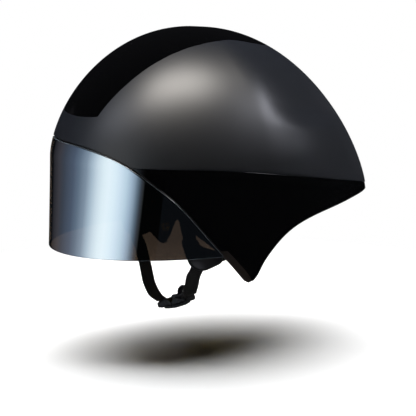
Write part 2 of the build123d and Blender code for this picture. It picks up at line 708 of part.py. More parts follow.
def divider(swing):
    """One side's flat divider on the left, moved back by a swing, and the planes of its three entries."""
    outline = [(SPLITTER_Y + swing + a * SPLITTER_SPAN, SPLITTER_Z + b * SPLITTER_SPAN) for a, b in splitter_shares]
    plate = Plane.YZ * Pos(0, 0, SPLITTER_X) * Face(Wire(runs([*outline, outline[0]])))
    plate = extrude(plate, amount=SPLITTER_THICK / 2, both=True)
    rims = plate.edges().filter_by(lambda edge: abs(edge.center().X - SPLITTER_X) > SPLITTER_ROUND)
    plate = fillet(rims, SPLITTER_ROUND)
    planes = []
    for entry, run in ((front_entry_shares, front_entry_run_shares), (rear_entry_shares, rear_entry_run_shares),
                       (chin_entry_shares, chin_entry_run_shares)):
        plane = entry_plane(entry, run, swing)
        plate -= plane * Box(web_slot, web_room, 2 * SPLITTER_POCKET)
        planes.append(plane)
    return plate, planes


def strap_start(plane):
    """Where a strap ends inside its entry, and a point just outside."""
    inside = plane.origin + plane.z_dir * pocket_end
    outside = plane.origin - plane.z_dir * pocket_end
    return inside, outside


def front_strap(plane, room=0.0):
    """From the front anchor down to the divider."""
    inside, outside = strap_start(plane)
    top = front_plane.from_local_coords(Vector(0, 0, below_anchor))
    under = front_plane.from_local_coords(Vector(0, 0, 4 * below_anchor))
    widths = (front_plane.x_dir, (0, 1, 0))
    return ribbon([top, under, outside, inside], [-front_plane.z_dir, plane.z_dir], widths, room)


def rear_strap(plane, room=0.0):
    """From the divider back inside the flap and up to the rear anchor."""
    inside, outside = strap_start(plane)
    top = rear_plane.from_local_coords(Vector(0, 0, below_anchor))
    under = rear_plane.from_local_coords(Vector(0, 0, 4 * below_anchor))
    middle = outside + Vector(-WEB_THICK, WEB_WIDTH * 2, WEB_WIDTH / 5)
    widths = ((0, 0, 1), -rear_plane.x_dir)
    return ribbon([inside, outside, middle, under, top], [-plane.z_dir, rear_plane.z_dir], widths, room)


front_plane = anchor_plane(FRONT_ANCHOR, FRONT_ANCHOR_DOWN)
rear_plane = anchor_plane(REAR_ANCHOR, REAR_ANCHOR_DOWN)
below_anchor = -ANCHOR_HIGH / 2 - SEAT_GAP
anchor_blocks = []
for plane in (front_plane, rear_plane):
    room = plane * Box(ANCHOR_LONG + 2 * SEAT_GAP, ANCHOR_DEEP + 2 * SEAT_GAP, ANCHOR_HIGH + 2 * SEAT_GAP)
    foam -= room + mirror(room, about=Plane.YZ)
    bar = Box(ANCHOR_LONG, ANCHOR_DEEP, ANCHOR_HIGH)
    bar = plane * fillet(bar.edges().filter_by(Axis.Z), ANCHOR_ROUND)
    anchor_blocks += [bar, mirror(bar, about=Plane.YZ)]
save("strap_anchors", Compound(children=anchor_blocks))

left_plate, left_planes = divider(0.0)
right_plate, right_planes = divider(RIGHT_SWING)
save("strap_divider_left", solid(left_plate))
save("strap_divider_right", mirror(solid(right_plate), about=Plane.YZ))
save("front_strap_left", front_strap(left_planes[0]))
save("front_strap_right", mirror(front_strap(right_planes[0]), about=Plane.YZ))
save("rear_strap_left", rear_strap(left_planes[1]))
save("rear_strap_right", mirror(rear_strap(right_planes[1]), about=Plane.YZ))
for planes, is_right in ((left_planes, False), (right_planes, True)):
    for room in (front_strap(planes[0], 2 * SEAT_GAP), rear_strap(planes[1], 2 * SEAT_GAP)):
        foam -= mirror(room, about=Plane.YZ) if is_right else room

buckle_run = Vector(*BUCKLE_RUN).normalized()
buckle_side = Vector(BUCKLE_RUN[1], -BUCKLE_RUN[0], 0).normalized()
buckle_plane = Plane(origin=BUCKLE_AT, x_dir=buckle_run, z_dir=buckle_side.cross(buckle_run))
web_gap = SEAT_GAP + WEB_THICK


def at_buckle(along, up):
    """Point in the buckle's own frame, on its middle line."""
    return buckle_plane.from_local_coords(Vector(along, 0, up))


left_inside, left_outside = strap_start(left_planes[2])
right_inside, right_outside = [Vector(-p.X, p.Y, p.Z) for p in strap_start(right_planes[2])]
chin_left_route = [Vector(*shares) * SPLITTER_X for shares in chin_left_shares]
chin_right_route = [Vector(*shares) * SPLITTER_X for shares in chin_right_shares]
left_down = -(buckle_plane.z_dir + buckle_run * CHIN_END_SLOPE_SHARE).normalized()
right_down = -(buckle_plane.z_dir - buckle_run * CHIN_END_SLOPE_SHARE).normalized()
left_end = at_buckle(BUCKLE_HALF + SEAT_GAP, BAR_HALF + SEAT_GAP) - left_down * web_gap
right_end = at_buckle(-BUCKLE_HALF - SEAT_GAP, BAR_HALF + SEAT_GAP) - right_down * web_gap
chin_left = ribbon([left_inside, left_outside, *chin_left_route, left_end],
                   [-left_planes[2].z_dir, left_down], ((0, 1, 0), -buckle_side))
save("chin_strap_left", chin_left)
right_in = right_planes[2].z_dir
chin_right = ribbon([right_inside, right_outside, *chin_right_route, right_end],
                    [Vector(right_in.X, -right_in.Y, -right_in.Z), right_down], ((0, 1, 0), -buckle_side))


# Buckle: a base with a T-shaped slot, and a slider whose hook leaves it sideways
def bar_loop(side_sign):
    """Sewn loop of webbing round a buckle's bar, at one end."""
    middle = side_sign * (BUCKLE_HALF - BAR_LENGTH / 2)
    room = Box(BAR_LENGTH + 2 * SEAT_GAP, 2 * WEB_WIDTH, 2 * BAR_HALF + 2 * SEAT_GAP)
    loop = Box(BAR_LENGTH + 2 * web_gap, WEB_WIDTH, 2 * BAR_HALF + 2 * web_gap)
    loop = fillet(loop.edges().filter_by(Axis.Y), WEB_THICK)
    return buckle_plane * Pos(middle, 0, 0) * (loop - room)


def buckle_end(side_sign):
    """Cut that leaves a bar behind a slot at one end of the buckle."""
    slot = Pos(side_sign * (BUCKLE_HALF - BAR_LENGTH - BAR_SLOT / 2), 0, 0) * Box(BAR_SLOT, web_slot + SEAT_GAP, 2 * BUCKLE_THICK)
    bar_room = Box(BAR_LENGTH + OVERRUN, web_slot + SEAT_GAP, BUCKLE_THICK)
    high = Pos(side_sign * (BUCKLE_HALF - BAR_LENGTH + OVERRUN / 2), 0, BAR_HALF + BUCKLE_THICK / 2) * bar_room
    low = Pos(side_sign * (BUCKLE_HALF - BAR_LENGTH + OVERRUN / 2), 0, -BAR_HALF - BUCKLE_THICK / 2) * bar_room
    return slot + high + low


def buckle_block(x0, x1):
    """Rounded block of the buckle between two places along it."""
    body = block(x0, x1, -BUCKLE_WIDTH / 2, BUCKLE_WIDTH / 2, -BUCKLE_THICK / 2, BUCKLE_THICK / 2)
    return fillet(body.edges().filter_by(Axis.Y), BUCKLE_ROUND)


hook_end = -HOOK_NECK - HOOK_HEAD
slot_y = BUCKLE_WIDTH / 2 - BUCKLE_STOP
base = buckle_block(-BUCKLE_HALF, 0) - buckle_end(-1)
base -= block(hook_end, -HOOK_NECK, -slot_y, OVERRUN, -HOOK_HEAD_HALF, HOOK_HEAD_HALF)
base -= block(-HOOK_NECK, OVERRUN, -slot_y, OVERRUN, -HOOK_NECK_HALF, HOOK_NECK_HALF)
save("buckle_base", buckle_plane * solid(base))

hook_y = (-slot_y + SEAT_GAP, BUCKLE_WIDTH / 2)
slider = buckle_block(SEAT_GAP, BUCKLE_HALF) - buckle_end(1)
slider += block(hook_end + SEAT_GAP, -HOOK_NECK - SEAT_GAP, *hook_y, -HOOK_HEAD_HALF + SEAT_GAP, HOOK_HEAD_HALF - SEAT_GAP)
slider += block(-HOOK_NECK - SEAT_GAP, 2 * SEAT_GAP, *hook_y, -HOOK_NECK_HALF + SEAT_GAP, HOOK_NECK_HALF - SEAT_GAP)
ear_from = LEVER_WIDTH / 2 + SEAT_GAP
ear_to = ear_from + EAR_WALL
lever_spot = Pos(LEVER_AT, 0, LEVER_HEIGHT)
along_y = Rot(90, 0, 0)
for sign in (-1, 1):
    ear = block(LEVER_AT - LEVER_KNUCKLE, LEVER_AT + LEVER_KNUCKLE, ear_from, ear_to, 0, LEVER_HEIGHT)
    ear += lever_spot * Pos(0, (ear_from + ear_to) / 2, 0) * along_y * Cylinder(LEVER_KNUCKLE, EAR_WALL)
    slider += ear if sign > 0 else mirror(ear, about=Plane.XZ)
slider -= lever_spot * along_y * Cylinder(LEVER_KNUCKLE + SEAT_GAP, LEVER_WIDTH + 2 * SEAT_GAP)
slider -= lever_spot * along_y * Cylinder(LEVER_PIN + PIN_PLAY, BUCKLE_WIDTH)
save("buckle_slider", buckle_plane * solid(slider))

lever = Cylinder(LEVER_KNUCKLE, LEVER_WIDTH)
tab = Pos(LEVER_LENGTH / 2, 0, 0) * Box(LEVER_LENGTH, LEVER_THICK, LEVER_WIDTH)
tab = fillet(tab.edges().filter_by(Axis.Z).group_by(Axis.X)[-1], LEVER_THICK / 3)
lever = along_y * (lever + tab) - along_y * Cylinder(LEVER_PIN + PIN_PLAY, BUCKLE_WIDTH)
save("buckle_lever", buckle_plane * lever_spot * Rot(0, -LEVER_LEAN_DEG, 0) * lever)
save("lever_pin", buckle_plane * lever_spot * along_y * Cylinder(LEVER_PIN, 2 * ear_to))
save("chin_loop_left", solid(bar_loop(1)))
save("chin_strap_right", chin_right)
save("chin_loop_right", solid(bar_loop(-1)))


# Fit system: two toothed bands drawn together by a dial behind the head
fit_place = Pos(0, FIT_Y, FIT_Z) * Rot(-FIT_TILT_DEG, 0, 0) * Pos(0, -BAND_RADIUS, 0)


def on_arc(radius, angle):
    """Point in the bands' plane, at an angle from the rear towards the left."""
    return (radius * sin(radians(angle)), radius * cos(radians(angle)))


def sector(inner, outer, first, last, z0, z1):
    """Part of a ring between two angles and two levels."""
    middle = (first + last) / 2
    edges = [ThreePointArc(*[on_arc(outer, angle) for angle in (first, middle, last)])]
    edges.append(Line(on_arc(outer, last), on_arc(inner, last)))
    edges.append(ThreePointArc(*[on_arc(inner, angle) for angle in (last, middle, first)]))
    edges.append(Line(on_arc(inner, first), on_arc(outer, first)))
    return Pos(0, 0, z0) * extrude(Face(Wire(edges)), amount=z1 - z0, dir=(0, 0, 1))


pitch_radius = PINION_TEETH * MODULE / 2
rack_step = degrees(pi * MODULE / BAND_RADIUS)
inner_band = BAND_RADIUS - BAND_THICK / 2
outer_band = BAND_RADIUS + BAND_THICK / 2


def rack_tooth(angle):
    """Tooth on the lower edge of the strip, pointing down at the pinion."""
    flank = tan(radians(PRESSURE_DEG))
    half = pi * MODULE / 4 - RACK_PLAY / 2
    top, tip = pitch_radius + TOOTH_ROOT + TOOTH_TIP / 2, pitch_radius - TOOTH_TIP
    wide, thin = half + flank * (TOOTH_ROOT + TOOTH_TIP / 2), half - flank * TOOTH_TIP
    corners = [(-wide, top), (-thin, tip), (thin, tip), (wide, top), (-wide, top)]
    face = Plane.XZ * Face(Wire(runs(corners)))
    return Rot(0, 0, -angle) * Pos(0, outer_band, 0) * extrude(face, amount=BAND_THICK, dir=(0, -1, 0))


def fit_band():
    """The left band: toothed strip behind the head, then the band round to the temple."""
    band = sector(inner_band, outer_band, -BAND_STRIP_END_DEG, BAND_JOIN_DEG, pitch_radius + TOOTH_ROOT, BAND_STRIP_TOP)
    band += sector(inner_band, outer_band, BAND_STEP_DEG, BAND_JOIN_DEG, -BAND_HALF_HEIGHT, BAND_STRIP_TOP)
    band += sector(inner_band, outer_band, BAND_STEP_DEG, BAND_END_DEG, -BAND_HALF_HEIGHT, BAND_HALF_HEIGHT)
    for i in range(-RACK_HALF_COUNT, RACK_HALF_COUNT):
        band += rack_tooth((i + 1 / 2) * rack_step)
    return band


band = fit_band()
save("fit_band_left", fit_place * solid(band))
save("fit_band_right", fit_place * Rot(0, 180, 0) * solid(band))


def pinion_tooth():
    """Outline points of one flank of the pinion, as angle and radius, from root to tip."""
    base = pitch_radius * cos(radians(PRESSURE_DEG))
    root, tip = pitch_radius - TOOTH_ROOT, pitch_radius + TOOTH_TIP
    half = (pi * MODULE / 4 - PINION_PLAY / 2) / pitch_radius
    start = tan(radians(PRESSURE_DEG)) - radians(PRESSURE_DEG)
    flank = [(half + start, root)]
    for radius in spaced(base, tip, FLANK_STEPS):
        roll = sqrt(max((radius / base) ** 2 - 1, 0))
        flank.append((half + start - (roll - atan2(roll, 1)), radius))
    return flank


def pinion():
    """Involute pinion with its shaft."""
    flank = pinion_tooth()
    corners = []
    for i in range(PINION_TEETH):
        middle = 2 * pi * i / PINION_TEETH
        corners += [(middle - angle, radius) for angle, radius in flank]
        corners += [(middle + angle, radius) for angle, radius in reversed(flank)]
    points = [(radius * cos(angle), radius * sin(angle)) for angle, radius in corners]
    gear = extrude(Face(Wire(runs([*points, points[0]]))), amount=PINION_THICK, dir=(0, 0, 1))
    shaft = Pos(0, 0, shaft_length / 2) * Cylinder(SHAFT_RADIUS, shaft_length)
    return Pos(0, inner_band, 0) * Rot(-90, 0, 0) * (gear + shaft)


housing_inner = outer_band + SEAT_GAP
housing_outer = housing_inner + HOUSING_WALL
rail_face = housing_outer + SEAT_GAP
rail_back = rail_face + RAIL_WALL
boss_end = rail_back + SEAT_GAP
knob_face = boss_end + SEAT_GAP
shaft_length = knob_face + KNOB_DEPTH - KNOB_ROUND - inner_band
through = Pos(0, BAND_RADIUS, 0) * Rot(-90, 0, 0)
shaft_hole = through * Cylinder(SHAFT_RADIUS + PIN_PLAY, 2 * OVERRUN)
slot_top = BAND_STRIP_TOP + SEAT_GAP

housing = sector(inner_band, housing_outer, -HOUSING_DEG, HOUSING_DEG, -HOUSING_HALF_HEIGHT, HOUSING_HALF_HEIGHT)
housing -= sector(inner_band - OVERRUN, housing_inner, -2 * HOUSING_DEG, 2 * HOUSING_DEG, -slot_top, slot_top)
housing += block(-BOSS_HALF_WIDTH, BOSS_HALF_WIDTH, housing_outer - HOUSING_WALL / 2, boss_end, -BOSS_HALF_HEIGHT, BOSS_HALF_HEIGHT)
housing -= shaft_hole
save("dial_housing", fit_place * solid(housing))
cover_face = inner_band - SEAT_GAP
cover = sector(cover_face - COVER_WALL, cover_face, -HOUSING_DEG, HOUSING_DEG, -HOUSING_HALF_HEIGHT, HOUSING_HALF_HEIGHT)
save("dial_cover", fit_place * solid(cover))
save("dial_pinion", fit_place * solid(pinion()))

knob = Cylinder(KNOB_RADIUS, KNOB_DEPTH)
for i in range(KNOB_FLUTES):
    knob -= Rot(0, 0, 360 * i / KNOB_FLUTES) * Pos(KNOB_RADIUS, 0, 0) * Cylinder(KNOB_FLUTE, 2 * KNOB_DEPTH)
knob -= Pos(0, 0, -KNOB_ROUND) * Cylinder(SHAFT_RADIUS + PIN_PLAY, KNOB_DEPTH)
save("dial_knob", fit_place * Pos(0, knob_face + KNOB_DEPTH / 2, 0) * Rot(-90, 0, 0) * solid(knob))

nape_back = cover_face - COVER_WALL - SEAT_GAP
nape_ovals = []
for i, angle in enumerate(spaced(-HOUSING_DEG, HOUSING_DEG, PAD_STATIONS)):
    along = 2 * i / (PAD_STATIONS - 1) - 1
    share = PAD_END_SHARE + (1 - PAD_END_SHARE) * sqrt(1 - along**4)
    half = NAPE_PAD_THICK * share / 2
    x, y = on_arc(nape_back - half, angle)
    plane = Plane(origin=(x, y, 0), x_dir=(x, y, 0), z_dir=(y, -x, 0))
    nape_ovals.append(plane * Ellipse(half, NAPE_PAD_HEIGHT * (1 + share) / 4))
save("nape_pad", fit_place * loft(nape_ovals))

rail = block(-RAIL_HALF_WIDTH, RAIL_HALF_WIDTH, rail_face, rail_back, -RAIL_BELOW, RAIL_TOP)
rail += block(-RAIL_HALF_WIDTH, RAIL_HALF_WIDTH, rail_face, rail_back + RAIL_FOOT, RAIL_ABOVE, RAIL_TOP)
travel = BOSS_HALF_HEIGHT + HEIGHT_TRAVEL + SEAT_GAP
slot_half = BOSS_HALF_WIDTH + RAIL_PLAY
rail -= block(-slot_half, slot_half, 0, OVERRUN + BAND_RADIUS, -travel, travel)
pins, pin_holes = [], []
for x in (-RAIL_PIN_X, RAIL_PIN_X):
    pin_place = fit_place * Pos(x, rail_face + RAIL_PIN_LENGTH / 2, RAIL_PIN_Z) * Rot(-90, 0, 0)
    pins.append(pin_place * Cylinder(RAIL_PIN_RADIUS, RAIL_PIN_LENGTH))
    pin_holes.append(pin_place * Cylinder(RAIL_PIN_RADIUS + PIN_PLAY, RAIL_PIN_LENGTH + 2 * SEAT_GAP))
rail = (fit_place * rail) & hollow(SEAT_GAP)
for hole in pin_holes:
    rail -= hole
    foam -= hole
save("height_rail", solid(rail))
save("rail_pins", Compound(children=pins))

clip_room = BAND_HALF_HEIGHT + HEIGHT_TRAVEL + SEAT_GAP
clip_inner = inner_band - CLIP_PLAY
clip_mid = (CLIP_Y - CLIP_DEPTH / 2, CLIP_Y + CLIP_DEPTH / 2)
clip = block(clip_inner - CLIP_WALL, CLIP_OUT, *clip_mid, -clip_room - CLIP_WALL, clip_room + CLIP_WALL)
clip -= block(clip_inner, outer_band + CLIP_PLAY, -OVERRUN, OVERRUN, -clip_room, clip_room)
clip = (fit_place * clip) & hollow(SEAT_GAP)
save("temple_clip_left", solid(clip))
save("temple_clip_right", mirror(solid(clip), about=Plane.YZ))
save("foam_liner", solid(foam))
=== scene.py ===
# %% [markdown]
# Aero time trial helmet, dressed for a studio picture.
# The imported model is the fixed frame: its pieces are already in place, in metres. This script gives
# them paint, plastic, cloth and light, and models the smooth shells and soft parts as finer meshes.

# %% Load the frame
import math

import bmesh
import bpy
import numpy as np
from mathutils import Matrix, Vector


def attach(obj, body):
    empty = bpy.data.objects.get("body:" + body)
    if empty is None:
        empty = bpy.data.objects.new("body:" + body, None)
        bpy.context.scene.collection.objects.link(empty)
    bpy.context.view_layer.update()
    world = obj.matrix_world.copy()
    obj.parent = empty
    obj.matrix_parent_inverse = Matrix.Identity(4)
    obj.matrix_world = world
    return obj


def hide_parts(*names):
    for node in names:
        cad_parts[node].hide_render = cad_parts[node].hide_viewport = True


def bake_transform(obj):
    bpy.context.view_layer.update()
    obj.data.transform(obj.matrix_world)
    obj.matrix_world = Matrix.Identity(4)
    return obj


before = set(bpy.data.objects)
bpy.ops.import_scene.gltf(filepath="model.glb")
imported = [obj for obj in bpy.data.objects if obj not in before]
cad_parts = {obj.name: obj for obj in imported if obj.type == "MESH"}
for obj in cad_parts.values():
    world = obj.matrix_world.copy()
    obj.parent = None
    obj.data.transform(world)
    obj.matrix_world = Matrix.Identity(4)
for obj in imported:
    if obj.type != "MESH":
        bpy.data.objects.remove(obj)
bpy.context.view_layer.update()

MM = 0.001

# %% [markdown]
# The outer form is one formula: for a place in the side view it gives the half width of the helmet.
# The same formula shaped the solids, so a surface worked out from it lies exactly on them. It is
# used here because a mesh with even rows of faces reflects smoothly, which gloss paint shows at once.

# %% The outer form
FORM_TOP = 118.0
NOSE_REACH = 137.0
TAIL_REACH = 199.0
HALF_WIDTH = 108.0
WIDEST_Y = 25.0
TAIL_LEVEL = 58.0
TURN_IN = 18.0
SHOULDER_LEVEL = 42.0
SHOULDER_FROM = 30.0
SHOULDER_UNDER = 6.0
SHOULDER_BAND = 22.0
PINCH_START = 25.0
PINCH_END = 130.0
CROWN_POWER = 2.0
BROW_POWER = 1.61
TAIL_POWER = 1.45
FRONT_POWER = 2.35
REAR_POWER = 2.2
TAIL_TAPER = 0.84
SIDE_TUCK = 0.12
VISOR_LEAN = 0.052
PINCH = 0.20
SHOULDER_FALL = 0.22
FAN_Y = 15.0
FAN_DROP = 190.0
FAN_REACH = 400.0
STEP = 0.06


def ease(t):
    """Smooth step: three t squared minus two t cubed."""
    t = np.clip(t, 0, 1)
    return t * t * (3 - 2 * t)


def below(z):
    """Depth under the size level, softly started: half of (root of z squared plus turn squared, minus z)."""
    return (np.sqrt(z * z + TURN_IN**2) - z) / 2


def half_width(y, z):
    """Half the width: the widest half width, times a power curve to the nose or tail, times the pinch."""
    up = np.clip(z / FORM_TOP, 0, 1)
    wide = HALF_WIDTH * np.sqrt(1 - up**CROWN_POWER) - SIDE_TUCK * below(z)
    nose = -NOSE_REACH * np.sqrt(1 - up**BROW_POWER) - VISOR_LEAN * below(z)
    climb = np.clip((z + TAIL_LEVEL) / (FORM_TOP + TAIL_LEVEL), 0, 1)
    tail = TAIL_REACH * np.sqrt(1 - climb**TAIL_POWER)
    middle = WIDEST_Y * (1 - up**2)
    tiny = STEP**2 / FORM_TOP
    ahead = np.clip((middle - y) / np.maximum(middle - nose, tiny), 0, 1)
    behind = np.clip((y - middle) / np.maximum(tail - middle, tiny), 0, 1)
    front = np.sqrt(1 - ahead**FRONT_POWER)
    rear = np.sqrt(1 - behind**REAR_POWER) * (1 - TAIL_TAPER * behind**2)
    shoulder = SHOULDER_LEVEL - SHOULDER_FALL * (y - SHOULDER_FROM)
    along = ease((y - PINCH_START) / (PINCH_END - PINCH_START))
    pinch = 1 - PINCH * along * ease((z - shoulder + SHOULDER_UNDER) / SHOULDER_BAND)
    return np.clip(wide, 0, None) * np.where(y < middle, front, rear) * pinch


def depth(x, y, z):
    """Distance under the outer surface: squared half width minus squared x, over the length of its slope."""
    square = half_width(y, z) ** 2
    slope_y = (half_width(y + STEP, z) ** 2 - half_width(y - STEP, z) ** 2) / (2 * STEP)
    slope_z = (half_width(y, z + STEP) ** 2 - half_width(y, z - STEP) ** 2) / (2 * STEP)
    slope = np.sqrt(4 * x * x + slope_y**2 + slope_z**2)
    return np.where(square > 0, (square - x * x) / np.maximum(slope, STEP), -FORM_TOP)


def halve(inside, low, high, rounds=44):
    """Largest value that is still inside, found by halving the span between low and high."""
    for _ in range(rounds):
        middle = (low + high) / 2
        within = inside(middle)
        low = np.where(within, middle, low)
        high = np.where(within, high, middle)
    return low


def side_x(y, z, inset):
    """Half width of the surface that lies an inset under the outer one."""
    zeros = np.zeros(np.broadcast(y, z, inset).shape)
    return halve(lambda x: depth(x, y, z) > inset, zeros, zeros + 2 * HALF_WIDTH)


def fan_side(tilt, out):
    """Place in the side view at a tilt and a distance out from the low pivot."""
    return FAN_Y + out * np.cos(tilt), -FAN_DROP + out * np.sin(tilt)


def fan_place(tilt, spread, inset):
    """Point where a ray meets the surface: it leaves a low pivot at a tilt in side view and a spread off it."""
    zeros = np.zeros(np.broadcast(tilt, spread, inset).shape)

    def at(reach):
        return reach * np.sin(spread), *fan_side(tilt, reach * np.cos(spread))

    reach = halve(lambda r: depth(*at(r)) > inset, zeros, zeros + FAN_REACH)
    return np.stack(np.broadcast_arrays(*at(reach)), -1)


def plan_place(turn, z, inset):
    """Point where a level ray meets the surface: it leaves the middle line at a turn from straight ahead."""
    zeros = np.zeros(np.broadcast(turn, z, inset).shape)

    def at(reach):
        return reach * np.sin(turn), WIDEST_Y - reach * np.cos(turn), z + zeros

    reach = halve(lambda r: depth(*at(r)) > inset, zeros, zeros + FAN_REACH)
    return np.stack(at(reach), -1)


# %% [markdown]
# In the side view the helmet has four lines: the sweep along the visor's edge, the front of the ear
# flap, the skirt from its tip to the tail, and the belt where the matte shell meets the gloss one.
# Each goes smoothly through a few chosen places, as a thin batten bends round a draughtsman's pins.

# %% Side-view lines
SWEEP = [(-150.7, 18.8), (-139.7, 18.8), (-130.2, 18.2), (-122.6, 16.0), (-114.0, 12.0), (-97.1, 1.5),
         (-81.9, -11.3), (-65.1, -25.5), (-46.7, -44.7), (-27.0, -67.9), (-13.0, -83.4)]
FLAP_FRONT = [(-13.0, -83.4), (-11.0, -85.9), (0.4, -98.3), (11.2, -110.7)]
SKIRT = [(19.6, -111.6), (23.0, -107.7), (28.5, -97.4), (37.3, -84.8), (48.2, -73.8), (63.4, -64.7),
         (80.6, -59.8), (123.8, -57.2), (177.1, -58.3), (193.3, -57.0), (205.5, -53.1)]
BELT = [(-143.9, 3.4), (-97.1, 2.4), (-65.6, 1.3), (-39.5, 0.0), (-11.0, -2.4), (19.3, -6.3),
        (66.9, -15.1), (118.4, -28.3), (163.2, -40.2), (189.9, -47.3), (219.2, -55.3)]
LENS_GAP = 1.6
SEAM_GAP = 0.4
SHELL_WALL = 1.4
SHELL_LIP = 0.6
LENS_WALL = 2.0
LENS_BOTTOM = -84.5
FLANGE_SHOW = 6.5


def batten(points, count=400):
    """Natural cubic spline through points: second slopes solve the banded equations along the chords."""
    p = np.array(points, float)
    h = np.linalg.norm(np.diff(p, axis=0), axis=1)
    s = np.concatenate([[0], np.cumsum(h)])
    n = len(p)
    bands = np.eye(n)
    right = np.zeros_like(p)
    i = np.arange(1, n - 1)
    bands[i, i - 1] = h[:-1]
    bands[i, i] = 2 * (h[:-1] + h[1:])
    bands[i, i + 1] = h[1:]
    chords = np.diff(p, axis=0) / h[:, None]
    right[1:-1] = 6 * np.diff(chords, axis=0)
    bend = np.linalg.solve(bands, right)
    t = np.linspace(0, s[-1], count)
    k = np.clip(np.searchsorted(s, t, side="right") - 1, 0, n - 2)
    a = ((s[k + 1] - t) / h[k])[:, None]
    b = ((t - s[k]) / h[k])[:, None]
    lift = ((a**3 - a) * bend[k] + (b**3 - b) * bend[k + 1]) * (h[k] ** 2)[:, None] / 6
    return a * p[k] + b * p[k + 1] + lift


def lifted(line, distance):
    """The line moved along its own normals, to the side where its start rises, or sinks if that is negative."""
    run = np.gradient(line, axis=0)
    run /= np.linalg.norm(run, axis=1, keepdims=True)
    normal = np.stack([-run[:, 1], run[:, 0]], 1)
    return line + distance * np.sign(normal[0, 1]) * normal


def line_out(line, tilt):
    """Distance of a line from the fan's pivot at each tilt, read between the line's own points."""
    y, z = line[:, 0] - FAN_Y, line[:, 1] + FAN_DROP
    angles = np.arctan2(z, y)
    order = np.argsort(angles)
    return np.interp(tilt, angles[order], np.hypot(y, z)[order])


sweep, skirt, belt = batten(SWEEP), batten(SKIRT), batten(BELT)
shell_edge = lifted(sweep, LENS_GAP)
print("shell edge stands over the lens edge at the nose:", round(shell_edge[0, 1] - sweep[0, 1], 2), "mm")

# %% [markdown]
# Meshes come from whole arrays. A sheet of points in rows and columns becomes quads, and a sheet that
# closes on itself across its columns becomes a tube, whose two ends can be capped.

# %% Meshes from arrays
MERGE_DISTANCE = 0.02


def new_object(name, data):
    """Object that carries some data, linked into the scene."""
    made = bpy.data.objects.new(name, data)
    bpy.context.scene.collection.objects.link(made)
    return made


def mesh_piece(name, points, faces, uv=None, smooth=True):
    """Piece from points in millimetres and lists of corner numbers."""
    mesh = bpy.data.meshes.new(name)
    mesh.from_pydata(points * MM, [], faces)
    mesh.validate()
    if uv is not None:
        layer = mesh.uv_layers.new(name="UVMap")
        corners = np.empty(len(mesh.loops), np.int32)
        mesh.loops.foreach_get("vertex_index", corners)
        layer.data.foreach_set("uv", uv[corners].astype(np.float32).ravel())
    mesh.polygons.foreach_set("use_smooth", np.full(len(mesh.polygons), smooth))
    return new_object(name, mesh)


def grid_faces(rows, columns, round_rows=False, round_columns=False):
    """Quads of a sheet: each joins a point with the next in its row and both neighbours in the next row."""
    i = np.arange(rows if round_rows else rows - 1)
    j = np.arange(columns if round_columns else columns - 1)
    i, j = [a.ravel() for a in np.meshgrid(i, j, indexing="ij")]
    down, right = (i + 1) % rows, (j + 1) % columns
    return np.stack([i * columns + j, down * columns + j, down * columns + right, i * columns + right], 1)


def face_out(piece):
    """Merge doubles and turn every face outwards."""
    work = bmesh.new()
    work.from_mesh(piece.data)
    bmesh.ops.remove_doubles(work, verts=work.verts, dist=MERGE_DISTANCE * MM)
    bmesh.ops.recalc_face_normals(work, faces=work.faces)
    work.to_mesh(piece.data)
    work.free()


def tube_piece(name, tubes, uv=None, smooth=True, slots=None):
    """Piece from closed tubes: each is rings of points, one per row, with a face over both ends. Slots give one
    tube's material number per column."""
    points, faces, start = [], [], 0
    for rings in tubes:
        rows, columns = rings.shape[:2]
        first = np.arange(columns)
        faces += (start + grid_faces(rows, columns, round_columns=True)).tolist()
        faces += [(start + first).tolist(), (start + (rows - 1) * columns + first[::-1]).tolist()]
        points.append(rings.reshape(-1, 3))
        start += rows * columns
    piece = mesh_piece(name, np.concatenate(points), faces, uv, smooth)
    if slots is not None:
        per_face = np.concatenate([np.tile(slots, rows - 1), [slots[0]] * 2]).astype(np.int32)
        piece.data.polygons.foreach_set("material_index", per_face)
    face_out(piece)
    return piece


# %% [markdown]
# Materials: each one starts from what the real surface is and how it was made. One helper adds a
# node with its settings and links, and one turns a hex colour as seen on a screen into linear light.
# Most pieces here are one colour of moulded plastic with a fine grain, so two helpers make those.

# %% Colour and node helpers
GRAIN_DEPTH = 0.2


def linear(code):
    """Hex colour to linear light: each channel goes through the screen's curve."""
    channels = np.array([int(code[i:i + 2], 16) for i in (1, 3, 5)]) / 255
    low = channels / 12.92
    high = ((channels + 0.055) / 1.055) ** 2.4
    return [*np.where(channels <= 0.04045, low, high).tolist(), 1.0]


def add(tree, kind, links=None, **settings):
    """Add a node: settings are its properties, links go to its inputs as values or as other nodes' outputs."""
    node = tree.nodes.new(kind)
    for name, value in settings.items():
        setattr(node, name, value)
    for name, value in (links or {}).items():
        socket = node.inputs[name]
        if isinstance(value, bpy.types.NodeSocket):
            tree.links.new(value, socket)
        else:
            socket.default_value = value
    return node


def material(name, **surface):
    """New material with one Principled surface, its plain values set, and the tree to build on."""
    made = bpy.data.materials.new(name)
    made.use_nodes = True
    shader = made.node_tree.nodes["Principled BSDF"]
    for socket, value in surface.items():
        shader.inputs[socket.replace("_", " ")].default_value = value
    return made, made.node_tree, shader


def raise_pattern(tree, shader, height, strength, distance, **settings):
    """Turn a pattern's height into relief of a distance in millimetres, on the surface's normal."""
    links = {"Height": height, "Strength": strength, "Distance": distance * MM}
    bump = add(tree, "ShaderNodeBump", links, **settings)
    tree.links.new(bump.outputs["Normal"], shader.inputs["Normal"])


def grained(name, colour, size, strength, **surface):
    """Material of one colour with a fine grain: noise whose lumps are a size in millimetres across."""
    made, tree, shader = material(name, Base_Color=linear(colour), **surface)
    place = add(tree, "ShaderNodeTexCoord").outputs["Object"]
    noise = add(tree, "ShaderNodeTexNoise", {"Vector": place, "Scale": 1 / (size * MM), "Detail": 3.0})
    raise_pattern(tree, shader, noise.outputs["Fac"], strength, GRAIN_DEPTH)
    return made


